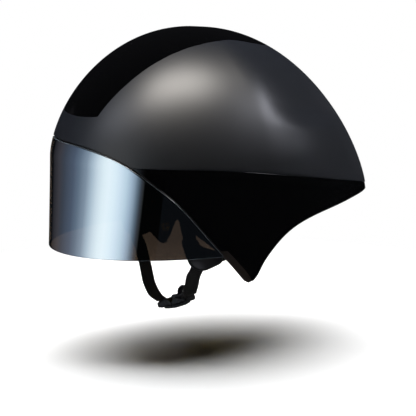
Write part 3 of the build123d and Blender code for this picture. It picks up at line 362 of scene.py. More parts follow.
# %% [markdown]
# The camera stands where the photographer's did: to the wearer's front left, a little above, far
# enough away that the perspective is gentle.

# %% Camera
PHOTO = 416
FOCAL = 1958.8
SENSOR = 36.0
AZIMUTH = math.radians(63)
ELEVATION = math.radians(12)
DISTANCE = 1900.0
SIGHT_END = 20.0
TARGET = np.array([0.0, 20.0, -59.5])

towards = np.array([math.sin(AZIMUTH) * math.cos(ELEVATION), -math.cos(AZIMUTH) * math.cos(ELEVATION),
                    math.sin(ELEVATION)])
camera = new_object("camera", bpy.data.cameras.new("camera"))
camera.location = (TARGET + DISTANCE * towards) * MM
camera.rotation_euler = (math.pi / 2 - ELEVATION, 0, AZIMUTH)
camera.data.sensor_width = SENSOR
camera.data.lens = FOCAL / PHOTO * SENSOR
camera.data.clip_end = SIGHT_END
bpy.context.scene.camera = camera
bpy.context.scene.view_settings.view_transform = "Standard"
print("camera looks from", [round(float(share), 3) for share in towards])

# %% [markdown]
# The studio is a dark room, which keeps black gloss black. Its white background is only the room's
# own colour as the camera sees it, directly or through a clear sheet, so it adds no light.

# %% Dark room with a white background
def seen_directly(tree):
    """One for what the camera sees and zero for what lights the object: the larger of two light path flags."""
    path = add(tree, "ShaderNodeLightPath")
    flags = {0: path.outputs["Is Camera Ray"], 1: path.outputs["Is Transmission Ray"]}
    return add(tree, "ShaderNodeMath", flags, operation="MAXIMUM").outputs[0]


world = bpy.data.worlds.new("studio")
world.use_nodes = True
bpy.context.scene.world = world
room = world.node_tree
dark_room = add(room, "ShaderNodeBackground", {"Color": linear("#8a8f98"), "Strength": 0.02})
white_room = add(room, "ShaderNodeBackground", {"Color": linear("#ffffff"), "Strength": 1.0})
rooms = add(room, "ShaderNodeMixShader",
            {0: seen_directly(room), 1: dark_room.outputs[0], 2: white_room.outputs[0]})
room.links.new(rooms.outputs[0], room.nodes["World Output"].inputs["Surface"])

# %% [markdown]
# The floor is a pale sheet under the hanging helmet. It is matte paint where the shadow falls, and
# fades to the background's white around it, so that no edge of the sheet shows.

# %% Floor
FLOOR_Z = -184.0
FLOOR_SIZE = 6000.0
FLOOR_MIDDLE = 30.0
FADE_FROM = 220.0
FADE_TO = 420.0

# Matte paint has no shine, which the eye takes as plain paper.
floor_paint, tree, shader = material("matte white floor paint", Base_Color=linear("#ffffff"), Roughness=0.9)
shader.inputs["Specular IOR Level"].default_value = 0.0
place = add(tree, "ShaderNodeTexCoord").outputs["Object"]
far = add(tree, "ShaderNodeVectorMath", {0: place}, operation="LENGTH")
fade = add(tree, "ShaderNodeMapRange", {"Value": far.outputs["Value"], "From Min": FADE_FROM * MM,
                                        "From Max": FADE_TO * MM}, interpolation_type="SMOOTHSTEP")
share = add(tree, "ShaderNodeMath", {0: seen_directly(tree), 1: fade.outputs[0]}, operation="MULTIPLY")
glow = add(tree, "ShaderNodeEmission", {"Color": linear("#ffffff"), "Strength": 1.0})
mixed = add(tree, "ShaderNodeMixShader", {0: share.outputs[0], 1: shader.outputs[0], 2: glow.outputs[0]})
tree.links.new(mixed.outputs[0], tree.nodes["Material Output"].inputs["Surface"])
corners = np.array([[-1, -1, 0], [1, -1, 0], [1, 1, 0], [-1, 1, 0]]) * FLOOR_SIZE / 2
floor = mesh_piece("floor", corners, [[0, 1, 2, 3]])
floor.location = (0, FLOOR_MIDDLE * MM, FLOOR_Z * MM)
floor.data.materials.append(floor_paint)
floor.visible_glossy = False

# %% [markdown]
# The lamps are soft boxes. One broad lamp behind and overhead lights only matte surfaces and the
# floor, and makes the shadow. The others show only as highlights in the paint: the key above the
# flank, one in front, one on the shoulder and one low wall behind. They are kept apart because the
# black gloss below the belt has to stay black beside a satin shell with one soft highlight.

# %% Soft boxes
LAMP_DISTANCE = 1300.0


def lit(name, strength, colour, size, place, aim, gloss=True, matte=False):
    """Soft rectangular lamp at a place, pointing at an aim, both in millimetres: for gloss or for matte."""
    lamp = new_object(name, bpy.data.lights.new(name, "AREA"))
    lamp.data.shape = "RECTANGLE"
    lamp.data.size, lamp.data.size_y = size[0] * MM, size[1] * MM
    lamp.data.energy = strength
    lamp.data.color = linear(colour)[:3]
    lamp.location = np.array(place) * MM
    lamp.rotation_euler = Vector(np.subtract(place, aim)).to_track_quat("Z", "Y").to_euler()
    lamp.visible_glossy = gloss
    lamp.visible_diffuse = matte


def around(azimuth, elevation, distance=LAMP_DISTANCE):
    """Place at a distance from the helmet's middle, by compass angle from the front and height angle."""
    a, e = math.radians(azimuth), math.radians(elevation)
    return distance * math.cos(e) * math.sin(a), -distance * math.cos(e) * math.cos(a), distance * math.sin(e)


lit("floor_light", 72.0, "#ffffff", (2500, 1600), (-541, 100, 1250), (-101, -125, 0), gloss=False, matte=True)
lit("key", 43.0, "#fff9f1", (1000, 560), around(70, 65), (20, 0, 20))
lit("front_soft", 8.0, "#eef3ff", (900, 700), around(10, 38, 1700), (0, -40, 20))
lit("shoulder_soft", 10.0, "#f4f5ff", (700, 260), around(142, 30), (20, 60, 30))
lit("rear_wall", 4.0, "#f0f3ff", (2000, 600), around(150, 10, 1600), (0, 60, 0))

# %% [markdown]
# The mirror lens shows what stands in front of the helmet: a card that goes from dusk blue to white
# and back, with a hard near edge. It stands as a curved strip around the visor, seen only in gloss.

# %% Curved card for the lens
CARD_RADIUS = 420.0
CARD_LEVELS = (-330.0, 160.0)
CARD_TURNS = (-75.0, 75.0)
CARD_MIDDLE = (40.0, -100.0)
CARD_STEPS = 60
CARD_TONES = [
    (0.0, "#201f22"), (0.127, "#403c3f"), (0.20, "#40434b"), (0.32, "#525966"), (0.387, "#69737f"),
    (0.46, "#8d969f"), (0.513, "#b9c1c6"), (0.567, "#e0e4e3"), (0.613, "#f4f6f1"), (0.653, "#fcfcf7"),
    (0.70, "#f3f7f4"), (0.74, "#e4eaec"), (0.78, "#cdd8dc"), (0.813, "#aeb9c3"), (0.833, "#939ea7"),
    (0.853, "#66717a"), (0.873, "#3d3f44"), (0.887, "#2b2a29"), (0.894, "#030303")]

turn, level = np.meshgrid(np.radians(np.linspace(*CARD_TURNS, CARD_STEPS)), CARD_LEVELS, indexing="ij")
card_points = np.stack([CARD_MIDDLE[0] + CARD_RADIUS * np.sin(turn),
                        CARD_MIDDLE[1] - CARD_RADIUS * np.cos(turn), level], -1)
shares = np.stack([np.repeat(np.linspace(0, 1, CARD_STEPS), 2), np.tile([0.0, 1.0], CARD_STEPS)], 1)
card = mesh_piece("light_card", card_points.reshape(-1, 3), grid_faces(CARD_STEPS, 2).tolist(), shares)
# The card is no paper but a glowing strip, a lamp seen only in gloss. Its tones along the strip are the light
# the lens reflects, which the eye reads as the mirror's bend.
card_glow, tree, shader = material("glowing gradient card lamp")
across = add(tree, "ShaderNodeSeparateXYZ", {0: add(tree, "ShaderNodeTexCoord").outputs["UV"]})
tones = add(tree, "ShaderNodeValToRGB", {"Fac": across.outputs["X"]})
while len(tones.color_ramp.elements) < len(CARD_TONES):
    tones.color_ramp.elements.new(0.5)
for element, (place, code) in zip(tones.color_ramp.elements, CARD_TONES):
    element.position = place
    element.color = linear(code)
glow = add(tree, "ShaderNodeEmission", {"Color": tones.outputs["Color"], "Strength": 1.5})
tree.links.new(glow.outputs[0], tree.nodes["Material Output"].inputs["Surface"])
card.data.materials.append(card_glow)
card.visible_camera = False
card.visible_diffuse = False
card.visible_transmission = False
card.visible_shadow = False
print("card shows", len(CARD_TONES), "tones from edge to edge")

# %% [markdown]
# The upper shell is a fibre shell painted twice: satin black over all, and gloss black on a broad
# stripe over the crown. A fan of rays from a low pivot meets the form once each, so rows of the fan
# make a smooth sheet from the belt on one side, over the crown, to the belt on the other. The edge
# is rolled in by half a millimetre, because a real trimmed edge catches a line of light.

# %% Upper shell
EDGE_ROLL = [(0.55, 0.0), (0.30, 0.05), (0.10, 0.20), (0.0, 0.45)]
ROLL_SHARE = 0.45
UPPER_ROWS = 230
UPPER_COLUMNS = 141
UPPER_ROOM = 0.5
FAN_TILTS_DEG = (20, 150)
FAN_TRIES = 4000
CREST_FROM = 60.0


def crowded(first, last, count):
    """Places from first to last that crowd towards both ends: the middle minus half the span times a cosine."""
    return (first + last) / 2 - (last - first) / 2 * np.cos(np.linspace(0, math.pi, count))


def crest_out(tilt):
    """Distance of the outline from the pivot at each tilt: the last place where the form has any width."""
    zeros = np.zeros(np.shape(tilt))
    return halve(lambda out: half_width(*fan_side(tilt, out)) > 0, zeros + CREST_FROM, zeros + FAN_REACH)


def open_tilts(low, high, room, count):
    """Tilts for the rows of a shell, over the part of the fan where its high line clears its low one."""
    tilts = np.radians(np.linspace(*FAN_TILTS_DEG, FAN_TRIES))
    clear = tilts[high(tilts) > low(tilts) + room]
    print("fan of the shell, in degrees:", np.degrees(clear[[0, -1]]).round(1).tolist())
    return crowded(clear[0], clear[-1], count)


def edge_spread(tilt, out, inset):
    """Spread at which the surface passes a distance from the pivot: arctangent of half width over distance."""
    return np.arctan2(side_x(*fan_side(tilt, out), inset), out)


def rolled_edge(tilt, low, high, face):
    """Where the outer sheet ends at a trimmed edge, and the points that roll from there in to the wall."""
    room = (high - low) * ROLL_SHARE
    rolled = [(low + np.minimum(offset, room), inset + face) for offset, inset in EDGE_ROLL]
    return rolled[0], [fan_place(tilt, edge_spread(tilt, out, inset), inset) for out, inset in rolled[1:]]


def upper_edge_out(tilt):
    """Lower edge of the upper shell: the higher of the visor's gap line and the belt."""
    return np.maximum(line_out(shell_edge, tilt), line_out(belt, tilt))


def upper_rings(tilts):
    """Closed rings across the shell: outer sheet, rolled edge, inner sheet, and the other rolled edge."""
    tilt, low = tilts[:, None], upper_edge_out(tilts)[:, None]
    (out, inset), lip = rolled_edge(tilt, low, crest_out(tilts)[:, None], 0.0)
    across = np.linspace(-1, 1, UPPER_COLUMNS)[None]
    outer = fan_place(tilt, across * edge_spread(tilt, out, inset), inset)
    inner = fan_place(tilt, across[:, ::-1] * edge_spread(tilt, low, SHELL_WALL), SHELL_WALL)
    return np.concatenate([outer, *lip, inner, *[ring * [-1, 1, 1] for ring in lip[::-1]]], 1)


upper_tilts = open_tilts(upper_edge_out, crest_out, UPPER_ROOM, UPPER_ROWS)
upper = tube_piece("upper_shell_skin", [upper_rings(upper_tilts)])
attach(upper, "helmet")
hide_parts("upper_shell")
print("upper shell faces:", len(upper.data.polygons))

# %% [markdown]
# Gloss and satin black are one paint with two clear coats. The stripe's outline is worked out at
# every point of the mesh as a distance to its edge, and the finish changes where that crosses zero,
# so the line between the coats stays sharp at any size.

# %% Stripe outline
STRIPE_HALF = [(-124.0, 30.0), (-112.2, 37.8), (-100.9, 40.4), (-86.9, 43.1), (-72.6, 44.8), (-52.9, 46.3),
               (-32.6, 46.5), (-11.3, 45.2), (11.3, 41.8), (39.2, 28.9), (54.7, 19.9), (80.0, 4.0),
               (96.0, -8.0)]
STRIPE_FOOT = 43.1
STRIPE_FOOT_RISE = 2.4
STRIPE_FOOT_HALF = 37.8


def stripe_distance(points):
    """How far a point lies inside the stripe: the smaller of its distances to the side edge and the foot."""
    x, y, z = np.abs(points[:, 0]), points[:, 1], points[:, 2]
    line = np.array(STRIPE_HALF)
    side = np.interp(y, line[:, 0], line[:, 1]) - x
    foot = z - STRIPE_FOOT - STRIPE_FOOT_RISE * (x / STRIPE_FOOT_HALF) ** 3
    return np.minimum(side, foot)


def points_of(piece):
    """The piece's points in millimetres."""
    flat = np.empty(len(piece.data.vertices) * 3, np.float32)
    piece.data.vertices.foreach_get("co", flat)
    return flat.reshape(-1, 3).astype(float) / MM


inside_stripe = stripe_distance(points_of(upper))
layer = upper.data.attributes.new("stripe", "FLOAT", "POINT")
layer.data.foreach_set("value", inside_stripe.astype(np.float32))
print("the stripe covers", round(float(np.mean(inside_stripe > 0)) * 100), "percent of the shell's points")

# %% Lacquered shell
STRIPE_BLUR = 0.15
FLECK_SIZE = 10 / 9


def two_tone(tree, shader, factor, first, second):
    """Base colour that passes from the first hex colour to the second as a factor goes from zero to one."""
    tone = add(tree, "ShaderNodeMix", {"Factor": factor}, data_type="RGBA")
    tone.inputs["A"].default_value = linear(first)
    tone.inputs["B"].default_value = linear(second)
    tree.links.new(tone.outputs["Result"], shader.inputs["Base Color"])


# Lacquer over fibre: the satin coat spreads one highlight over the whole flank, and the gloss coat beside
# it is a black mirror. The satin's real flecks are finer than a pixel, so they are drawn 1 mm wide.
shell_paint, tree, shader = material("two-finish black lacquer", IOR=1.5)
stripe = add(tree, "ShaderNodeAttribute", attribute_name="stripe").outputs["Fac"]
sharp = add(tree, "ShaderNodeMapRange", {"Value": stripe, "From Min": -STRIPE_BLUR, "From Max": STRIPE_BLUR})
place = add(tree, "ShaderNodeTexCoord").outputs["Object"]
flecks = add(tree, "ShaderNodeTexNoise", {"Vector": place, "Scale": 1 / (FLECK_SIZE * MM), "Detail": 2.0})
satin = add(tree, "ShaderNodeMapRange", {"Value": flecks.outputs["Fac"], "To Min": 0.40, "To Max": 0.46})
rough = add(tree, "ShaderNodeMix", {"Factor": sharp.outputs[0], "A": satin.outputs[0], "B": 0.04},
            data_type="FLOAT")
tree.links.new(rough.outputs[0], shader.inputs["Roughness"])
two_tone(tree, shader, sharp.outputs[0], "#11151d", "#060607")
upper.data.materials.append(shell_paint)

# %% [markdown]
# The lower shell is gloss black and lies 0.6 mm under the upper shell's face, so that the upper
# shell's edge stands over it as a fine lip. One side is worked out and the other is its mirror image.

# %% Lower shell
LOWER_ROWS = 260
LOWER_COLUMNS = 46
LOWER_ROOM = 0.6
CREST_TRIM = 0.02
BELT_LIP_SHARE = 0.003

belt_low = lifted(belt, -SEAM_GAP)


def lower_edge_out(tilt):
    """Lower edge of the lower shell: the skirt behind the flap's tip, the flap's front and the visor's gap
    before it, and a straight step between the two at the tip."""
    stepped = lifted(np.array(FLAP_FRONT), FLANGE_SHOW)
    front = np.concatenate([shell_edge[shell_edge[:, 1] > stepped[0, 1]], stepped])
    ends = np.array([skirt[0], front[-1]]) - [FAN_Y, -FAN_DROP]
    (skirt_tilt, tip_tilt), (skirt_out, tip_out) = np.arctan2(ends[:, 1], ends[:, 0]), np.hypot(*ends.T)
    share = np.clip((tilt - skirt_tilt) / (tip_tilt - skirt_tilt), 0, 1)
    between = skirt_out + (tip_out - skirt_out) * share
    behind = np.where(tilt < skirt_tilt, line_out(skirt, tilt), between)
    return np.where(tilt > tip_tilt, line_out(front, tilt), behind)


def lower_top_out(tilt):
    """Upper edge of the lower shell: the seam's width under the belt, and never past the outline."""
    return np.minimum(line_out(belt_low, tilt), crest_out(tilt) - CREST_TRIM)


def lower_rings(tilts):
    """Closed rings on one side: down the outer sheet, round the rolled edge, up the inner sheet."""
    tilt, low, high = tilts[:, None], lower_edge_out(tilts)[:, None], lower_top_out(tilts)[:, None]
    (out, inset), lip = rolled_edge(tilt, low, high, SHELL_LIP)
    down = np.linspace(0, 1, LOWER_COLUMNS)[None]
    # A narrow first column keeps the belt's edge crisp, so that it shows no broad glint.
    outs = high + (out - high) * np.concatenate([[[0.0, BELT_LIP_SHARE]], down[:, 1:]], 1)
    outer = fan_place(tilt, edge_spread(tilt, outs, inset), inset)
    outs = low + (high - low) * down
    inner = fan_place(tilt, edge_spread(tilt, outs, SHELL_LIP + SHELL_WALL), SHELL_LIP + SHELL_WALL)
    return np.concatenate([outer, *lip, inner], 1)


left_rings = lower_rings(open_tilts(lower_edge_out, lower_top_out, LOWER_ROOM, LOWER_ROWS))
rows, columns = left_rings.shape[:2]
side_points = left_rings.reshape(-1, 3)
faces = grid_faces(rows, columns, round_columns=True)
both = np.concatenate([side_points, side_points * [-1, 1, 1]])
lower = mesh_piece("lower_shell_skin", both, faces.tolist() + (faces[:, ::-1] + len(side_points)).tolist())
face_out(lower)
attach(lower, "helmet")
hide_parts("lower_shell")
# Polished lacquer with a slow orange-peel wave 6 mm across: a black mirror whose highlights waver a little.
lower.data.materials.append(grained("gloss black lacquer", "#050506", 6.0, 0.02, Roughness=0.05, IOR=1.5))
print("lower shell faces:", len(lower.data.polygons))

# %% [markdown]
# The visor lens is blown from smoke-tinted sheet, which keeps it even round the bend, and its edge is
# cut and polished. Level rays from the middle line meet the form once each, so columns of equal turn
# make the sheet, from the straight bottom edge up to the sweep.

# %% Lens sheet
LENS_COLUMNS = 161
LENS_ROWS = 60
LENS_ROLL = [(0.30, 0.0), (0.12, 0.06), (0.0, 0.25)]
LENS_LEAST = 0.1
LENS_CORNER = 1.5
LENS_TALLEST = 110.0
LENS_HALVINGS = 30


def sweep_level(y):
    """Height of the sweep over a place along the helmet."""
    order = np.argsort(sweep[:, 0])
    return np.interp(y, sweep[order, 0], sweep[order, 1])


def lens_top(turn, inset):
    """Height at which a column of the lens meets the sweep, found by halving."""
    low = np.full(np.shape(turn), LENS_BOTTOM)

    def under(z):
        return z < sweep_level(plan_place(turn, z, inset)[..., 1])

    return halve(under, low, low + LENS_TALLEST, LENS_HALVINGS)


corner = sweep[np.argmin(np.abs(sweep[:, 1] - LENS_BOTTOM - LENS_CORNER))]
last_turn = math.atan2(side_x(corner[0], corner[1], 0.0), WIDEST_Y - corner[0])
print("lens reaches", round(math.degrees(last_turn), 1), "degrees to each side")


def lens_rings():
    """Closed rings, one per column: outer sheet upwards, top edge, inner sheet downwards, bottom edge."""
    turns = crowded(-last_turn, last_turn, LENS_COLUMNS)
    turn, top = turns[:, None], lens_top(turns, 0.0)[:, None]
    rise = np.linspace(0, 1, LENS_ROWS)[None]
    low = LENS_BOTTOM + LENS_ROLL[0][0]
    high = np.maximum(top - LENS_ROLL[0][0], low + LENS_LEAST)
    outer = plan_place(turn, low + (high - low) * rise, 0.0)
    top_lip = [plan_place(turn, np.maximum(top - offset, low + LENS_LEAST), inset)
               for offset, inset in LENS_ROLL[1:]]
    inner_top = np.maximum(top, low + 2 * LENS_LEAST)
    inner = plan_place(turn, LENS_BOTTOM + (inner_top - LENS_BOTTOM) * rise[:, ::-1], LENS_WALL)
    foot = np.full_like(turn, LENS_BOTTOM)
    foot_lip = [plan_place(turn, foot + offset, inset) for offset, inset in LENS_ROLL[:0:-1]]
    return np.concatenate([outer, *top_lip, inner, *foot_lip], 1)


COATED, CUT, BARE = 0, 1, 2
rings = lens_rings()
faces_of = np.full(rings.shape[1], CUT)
faces_of[:LENS_ROWS - 1] = COATED
faces_of[LENS_ROWS + 2:-3] = BARE
lens = tube_piece("lens_sheet", [rings], slots=faces_of)
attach(lens, "visor")
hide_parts("visor_lens")

# %% [markdown]
# The coat lies on the outside of the sheet only. The inside is the bare smoke-tinted plastic, which
# takes away another four fifths of the light, so the far strap shows through as a dark brown shape.

# %% Mirror coat, smoke tint and cut edge
def half_clear(name, tint, share, **surface):
    """Material that shines for a share of the light and lets the rest straight through in a tint."""
    made, tree, shader = material(name, **surface)
    clear = add(tree, "ShaderNodeBsdfTransparent", {"Color": linear(tint)})
    mixed = add(tree, "ShaderNodeMixShader", {0: share, 1: clear.outputs[0], 2: shader.outputs[0]})
    tree.links.new(mixed.outputs[0], tree.nodes["Material Output"].inputs["Surface"])
    return made


# Vacuum-coated metal on polycarbonate: a cool mirror that lets a fifth of the light through.
mirror_coat = half_clear("mirror-coated polycarbonate", "#e9d8c7", 0.80, Base_Color=linear("#d3e2ef"),
                         Metallic=1.0, Roughness=0.02)
# Bare smoke-tinted sheet, dark brown with a faint shine.
smoke_tint = half_clear("smoke-tinted polycarbonate", "#70675f", 0.05, Base_Color=linear("#0c0b0a"),
                        Roughness=0.05, IOR=1.58)
# Sawn and polished edge: its shine is real, and its pale grey colour is a painted glow that stands for the
# light gathering in it from along the sheet.
cut_edge_glow = grained("polished cut polycarbonate with painted glow", "#5d666e", 1.5, 0.05, Roughness=0.2, IOR=1.58, Coat_Weight=0.5)
for finish in (mirror_coat, cut_edge_glow, smoke_tint):
    lens.data.materials.append(finish)
print("lens finishes:", [finish.name for finish in lens.data.materials])

# %% [markdown]
# The other solids keep their shape and get their real finishes. Most are injection moulded, and a
# spark-eroded mould leaves a grain of a few tenths of a millimetre. It is drawn about twice as coarse
# here, so that it shows as a slightly broken highlight.

# %% Moulded and metal finishes
# Nylon from a textured mould: dull black whose highlights are soft.
moulded = grained("moulded black nylon", "#131315", 0.8, 0.15, Roughness=0.42, IOR=1.53)
# The visor frame is a warmer, smoother nylon, which the eye sees as the brown strip at the flap's front.
frame_nylon = grained("moulded brown-black nylon", "#241c18", 0.8, 0.08, Roughness=0.3, IOR=1.53)
# Acetal is slippery and takes a better polish, so buckles show small sharp highlights.
acetal = grained("moulded black acetal", "#17171a", 1.0, 0.10, Roughness=0.32, IOR=1.48)
# Rubber over the knob is matte, and its grain reads as grip.
soft_black = grained("moulded black rubber", "#141414", 0.6, 0.25, Roughness=0.6, IOR=1.52)
# Barrel-plated steel: small warm-grey discs and pins with a soft shine.
steel = grained("nickel-plated steel", "#b9b7b2", 0.5, 0.05, Roughness=0.25, Metallic=1.0)
# Thin moulded sheet with a slippery face, the one bright colour inside the helmet.
yellow_layer = grained("smooth yellow slip sheet", "#c9ac1c", 2.0, 0.1, Roughness=0.35, IOR=1.5)

# %% [markdown]
# The liner is foam moulded from beads that swell against each other, so its skin is a pattern of
# rounded cells 3 mm across with sunk seams.

# %% Bead foam
BEAD_SIZE = 3.2

# The eye sees matte charcoal with a fine cobbled relief.
beads, tree, shader = material("moulded black bead foam", Roughness=0.75, IOR=1.5)
place = add(tree, "ShaderNodeTexCoord").outputs["Object"]
cells = add(tree, "ShaderNodeTexVoronoi", {"Vector": place, "Scale": 1 / (BEAD_SIZE * MM)}).outputs["Distance"]
raise_pattern(tree, shader, cells, 0.35, 0.4, invert=True)
seam = add(tree, "ShaderNodeMapRange", {"Value": cells, "From Max": 0.7})
two_tone(tree, shader, seam.outputs[0], "#1a1a1b", "#101011")

# %% Finishes of the solids
FINISHES = {
    beads: "foam_liner",
    frame_nylon: "visor_frame",
    yellow_layer: "slip_layer",
    steel: "frame_magnets lens_keepers lever_pin rail_pins",
    soft_black: "slip_anchors dial_knob",
    acetal: "dial_pinion",
    moulded: "strap_anchors fit_band_left fit_band_right dial_housing dial_cover height_rail temple_clip_left "
             "temple_clip_right",
}
for finish, nodes in FINISHES.items():
    for node in nodes.split():
        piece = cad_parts[node]
        piece.data.materials.clear()
        piece.data.materials.append(finish)
    print(finish.name, "on", nodes)

# %% [markdown]
# The webbing is a flat woven band 13 mm wide with slightly thicker edges. Each strap is one outline of
# that band carried along its route, where every route point also says which way the width lies. Its own
# UV counts millimetres along and across, so the threads follow the strap round every bend.

# %% Woven finish
def weave(tree, shader, colours, brick, gap, strength, distance):
    """Weave on the piece's own UV: bricks are threads of a length and a height in millimetres, in two
    colours, with sunk gaps of a third colour between them."""
    place = add(tree, "ShaderNodeTexCoord").outputs["UV"]
    first, second, between = [linear(colour) for colour in colours]
    threads = add(tree, "ShaderNodeTexBrick", {
        "Vector": place, "Color1": first, "Color2": second, "Mortar": between, "Mortar Size": gap * MM,
        "Brick Width": brick[0] * MM, "Row Height": brick[1] * MM, "Mortar Smooth": 1.0, "Scale": 1.0})
    tree.links.new(threads.outputs["Color"], shader.inputs["Base Color"])
    raise_pattern(tree, shader, threads.outputs["Fac"], strength, distance, invert=True)


# Woven polyester: dull black with a faint ribbing. The real threads are 0.4 mm apart and are drawn twice as
# coarse, so that the ribs show.
webbing, tree, shader = material("woven black polyester webbing", Roughness=0.8, Sheen_Weight=0.04,
                                 Sheen_Roughness=0.4)
weave(tree, shader, ("#15110f", "#0d0a0a", "#050404"), (1.9, 0.8), 0.1, 0.6, 0.3)

# %% Strap routes
# Each route point is a place in millimetres and the direction of the strap's width there.
STRAPS = {
    "front_strap_left": [
        (83.0, -50.2, -22.3, 0, 0.99, 0.14), (82.8, -48.3, -34.2, 0.01, 0.98, 0.21),
        (81.6, -45.4, -45.9, 0.02, 0.96, 0.26), (80.3, -42.2, -57.5, 0.02, 0.97, 0.25),
        (80.0, -39.4, -69.2, 0, 0.98, 0.21)],
    "front_strap_right": [
        (-83.0, -50.2, -22.3, 0, 0.99, 0.14), (-82.7, -47.5, -34.7, -0.02, 0.93, 0.37),
        (-81.6, -41.5, -46.0, -0.05, 0.85, 0.52), (-80.3, -35.2, -57.0, -0.03, 0.9, 0.43),
        (-80.0, -31.4, -69.2, 0, 0.98, 0.21)],
    "rear_strap_left": [
        (80.0, -21.7, -88.5, 0, -0.06, 1.0), (79.8, -9.9, -87.0, 0, -0.10, 1.0),
        (79.0, 1.9, -84.6, -0.01, -0.16, 0.99), (78.2, 13.5, -80.6, -0.03, -0.27, 0.96),
        (77.7, 24.5, -76.5, -0.04, -0.41, 0.91), (77.4, 34.9, -70.9, -0.06, -0.53, 0.84),
        (77.0, 44.5, -64.0, -0.07, -0.64, 0.76), (76.3, 53.1, -55.9, -0.08, -0.73, 0.67),
        (75.2, 60.6, -46.8, -0.08, -0.79, 0.61)],
    "rear_strap_right": [
        (-80.0, -13.7, -84.5, 0, -0.06, 1.0), (-79.8, -2.7, -83.9, 0, -0.04, 1.0),
        (-79.1, 8.2, -83.2, 0.01, -0.10, 0.99), (-78.3, 19.0, -81.2, 0.03, -0.29, 0.96),
        (-77.8, 29.0, -76.8, 0.04, -0.49, 0.87), (-77.4, 38.1, -70.7, 0.06, -0.62, 0.78),
        (-76.9, 46.3, -63.4, 0.07, -0.71, 0.70), (-76.3, 53.7, -55.3, 0.08, -0.76, 0.64),
        (-75.2, 60.6, -46.8, 0.08, -0.79, 0.61)],
    "chin_strap_left": [
        (80.0, -30.7, -91.5, 0, 0.99, -0.10), (78.6, -32.0, -98.4, 0.2, 0.97, 0),
        (74.0, -32.2, -103.8, 0.4, 0.9, 0), (69.5, -31.5, -109.2, 0.45, 0.89, 0),
        (65.6, -30.4, -114.8, 0.45, 0.89, 0), (61.3, -29.5, -120.3, 0.45, 0.89, 0),
        (56.4, -27.9, -125.2, 0.4, 0.9, 0.1), (51.0, -25.3, -128.6, 0.15, 0.97, 0.1),
        (45.3, -22.8, -131.3, -0.41, 0.91, 0)],
    "chin_strap_right": [
        (-80.0, -20.7, -91.5, 0, 0.99, -0.10), (-78.2, -19.9, -100.6, -0.22, 0.93, 0.29),
        (-72.1, -18.8, -108.1, 0.03, 1.0, -0.07), (-65.4, -19.6, -115.2, 0.03, 0.99, -0.10),
        (-58.0, -20.9, -121.6, 0.11, 0.98, -0.16), (-49.9, -23.2, -126.7, 0.19, 0.96, -0.20),
        (-41.4, -25.9, -130.7, 0.24, 0.95, -0.19), (-32.5, -28.8, -133.9, 0.24, 0.96, -0.17),
        (-23.3, -31.4, -136.2, 0.24, 0.96, -0.13), (-14.0, -33.9, -137.8, 0.24, 0.97, -0.09),
        (-4.5, -36.4, -138.7, 0.24, 0.97, -0.05), (5.1, -38.2, -139.5, 0.06, 1.0, -0.06),
        (14.6, -36.8, -141.3, -0.41, 0.91, 0)],
}

# %% [markdown]
# The left chin webbing hangs between the flap and the half of the buckle that slides. Its place is baked
# into its points and it is attached to no body. The other straps stay with the helmet.

# %% Webbing straps
WEB_WIDTH = 13.0
WEB_THICK = 1.6
WEB_TOP = np.array([(-1.0, 0.30), (-0.985, 0.62), (-0.95, 0.88), (-0.88, 0.98), (-0.78, 0.86), (-0.4, 0.80),
                    (0.0, 0.80), (0.4, 0.80), (0.78, 0.86), (0.88, 0.98), (0.95, 0.88), (0.985, 0.62),
                    (1.0, 0.30)])
WEB_OUTLINE = np.concatenate([WEB_TOP, WEB_TOP[::-1] * [1, -1]])
STRAP_ROWS = 120


def band(name, line, width, closed=False):
    """Band of webbing along a line with a width direction at each point: the place, plus the outline's first
    number times half the width, plus its second times half the thickness."""
    run = np.roll(line, -1, 0) - np.roll(line, 1, 0) if closed else np.gradient(line, axis=0)
    run /= np.linalg.norm(run, axis=1, keepdims=True)
    width = width - run * np.sum(width * run, 1, keepdims=True)
    width /= np.linalg.norm(width, axis=1, keepdims=True)
    aside, proud = (WEB_OUTLINE * [WEB_WIDTH / 2, WEB_THICK / 2]).T
    rings = line[:, None] + width[:, None] * aside[:, None] + np.cross(run, width)[:, None] * proud[:, None]
    along = np.concatenate([[0], np.cumsum(np.linalg.norm(np.diff(line, axis=0), axis=1))])
    uv = np.stack(np.broadcast_arrays(along[:, None], aside), -1).reshape(-1, 2) * MM
    if closed:
        piece = mesh_piece(name, rings.reshape(-1, 3), grid_faces(*rings.shape[:2], True, True).tolist(), uv)
        face_out(piece)
    else:
        piece = tube_piece(name, [rings], uv)
    piece.data.materials.append(webbing)
    return piece


for node, route in STRAPS.items():
    route = batten(route, STRAP_ROWS)
    strap = band(node + "_band", route[:, :3], route[:, 3:])
    if node == "chin_strap_left":
        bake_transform(strap)
    else:
        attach(strap, "helmet")
    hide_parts(node)
    print(node, "is", round(float(np.linalg.norm(np.diff(route[:, :3], axis=0), axis=1).sum()), 1), "mm long")

# %% [markdown]
# At each end of the buckle the webbing goes round a bar and is sewn to itself. The loop is the same band
# carried once round a rounded square.

# %% Sewn loops at the buckle
BUCKLE_AT = np.array([31.0, -29.3, -139.0])
BUCKLE_AXES = np.array([(0.86633, 0.394945, 0.305763), (-0.414811, 0.909908, 0.0),
                        (-0.278217, -0.126834, 0.952107)])
LOOP_POWER = 3.0
LOOP_STEPS = 64
LOOP_PLACES = {"chin_loop_left": (14.1, 3.7, 2.5, "buckle_tab"),
               "chin_loop_right": (-14.5, 2.8, 3.0, "helmet")}

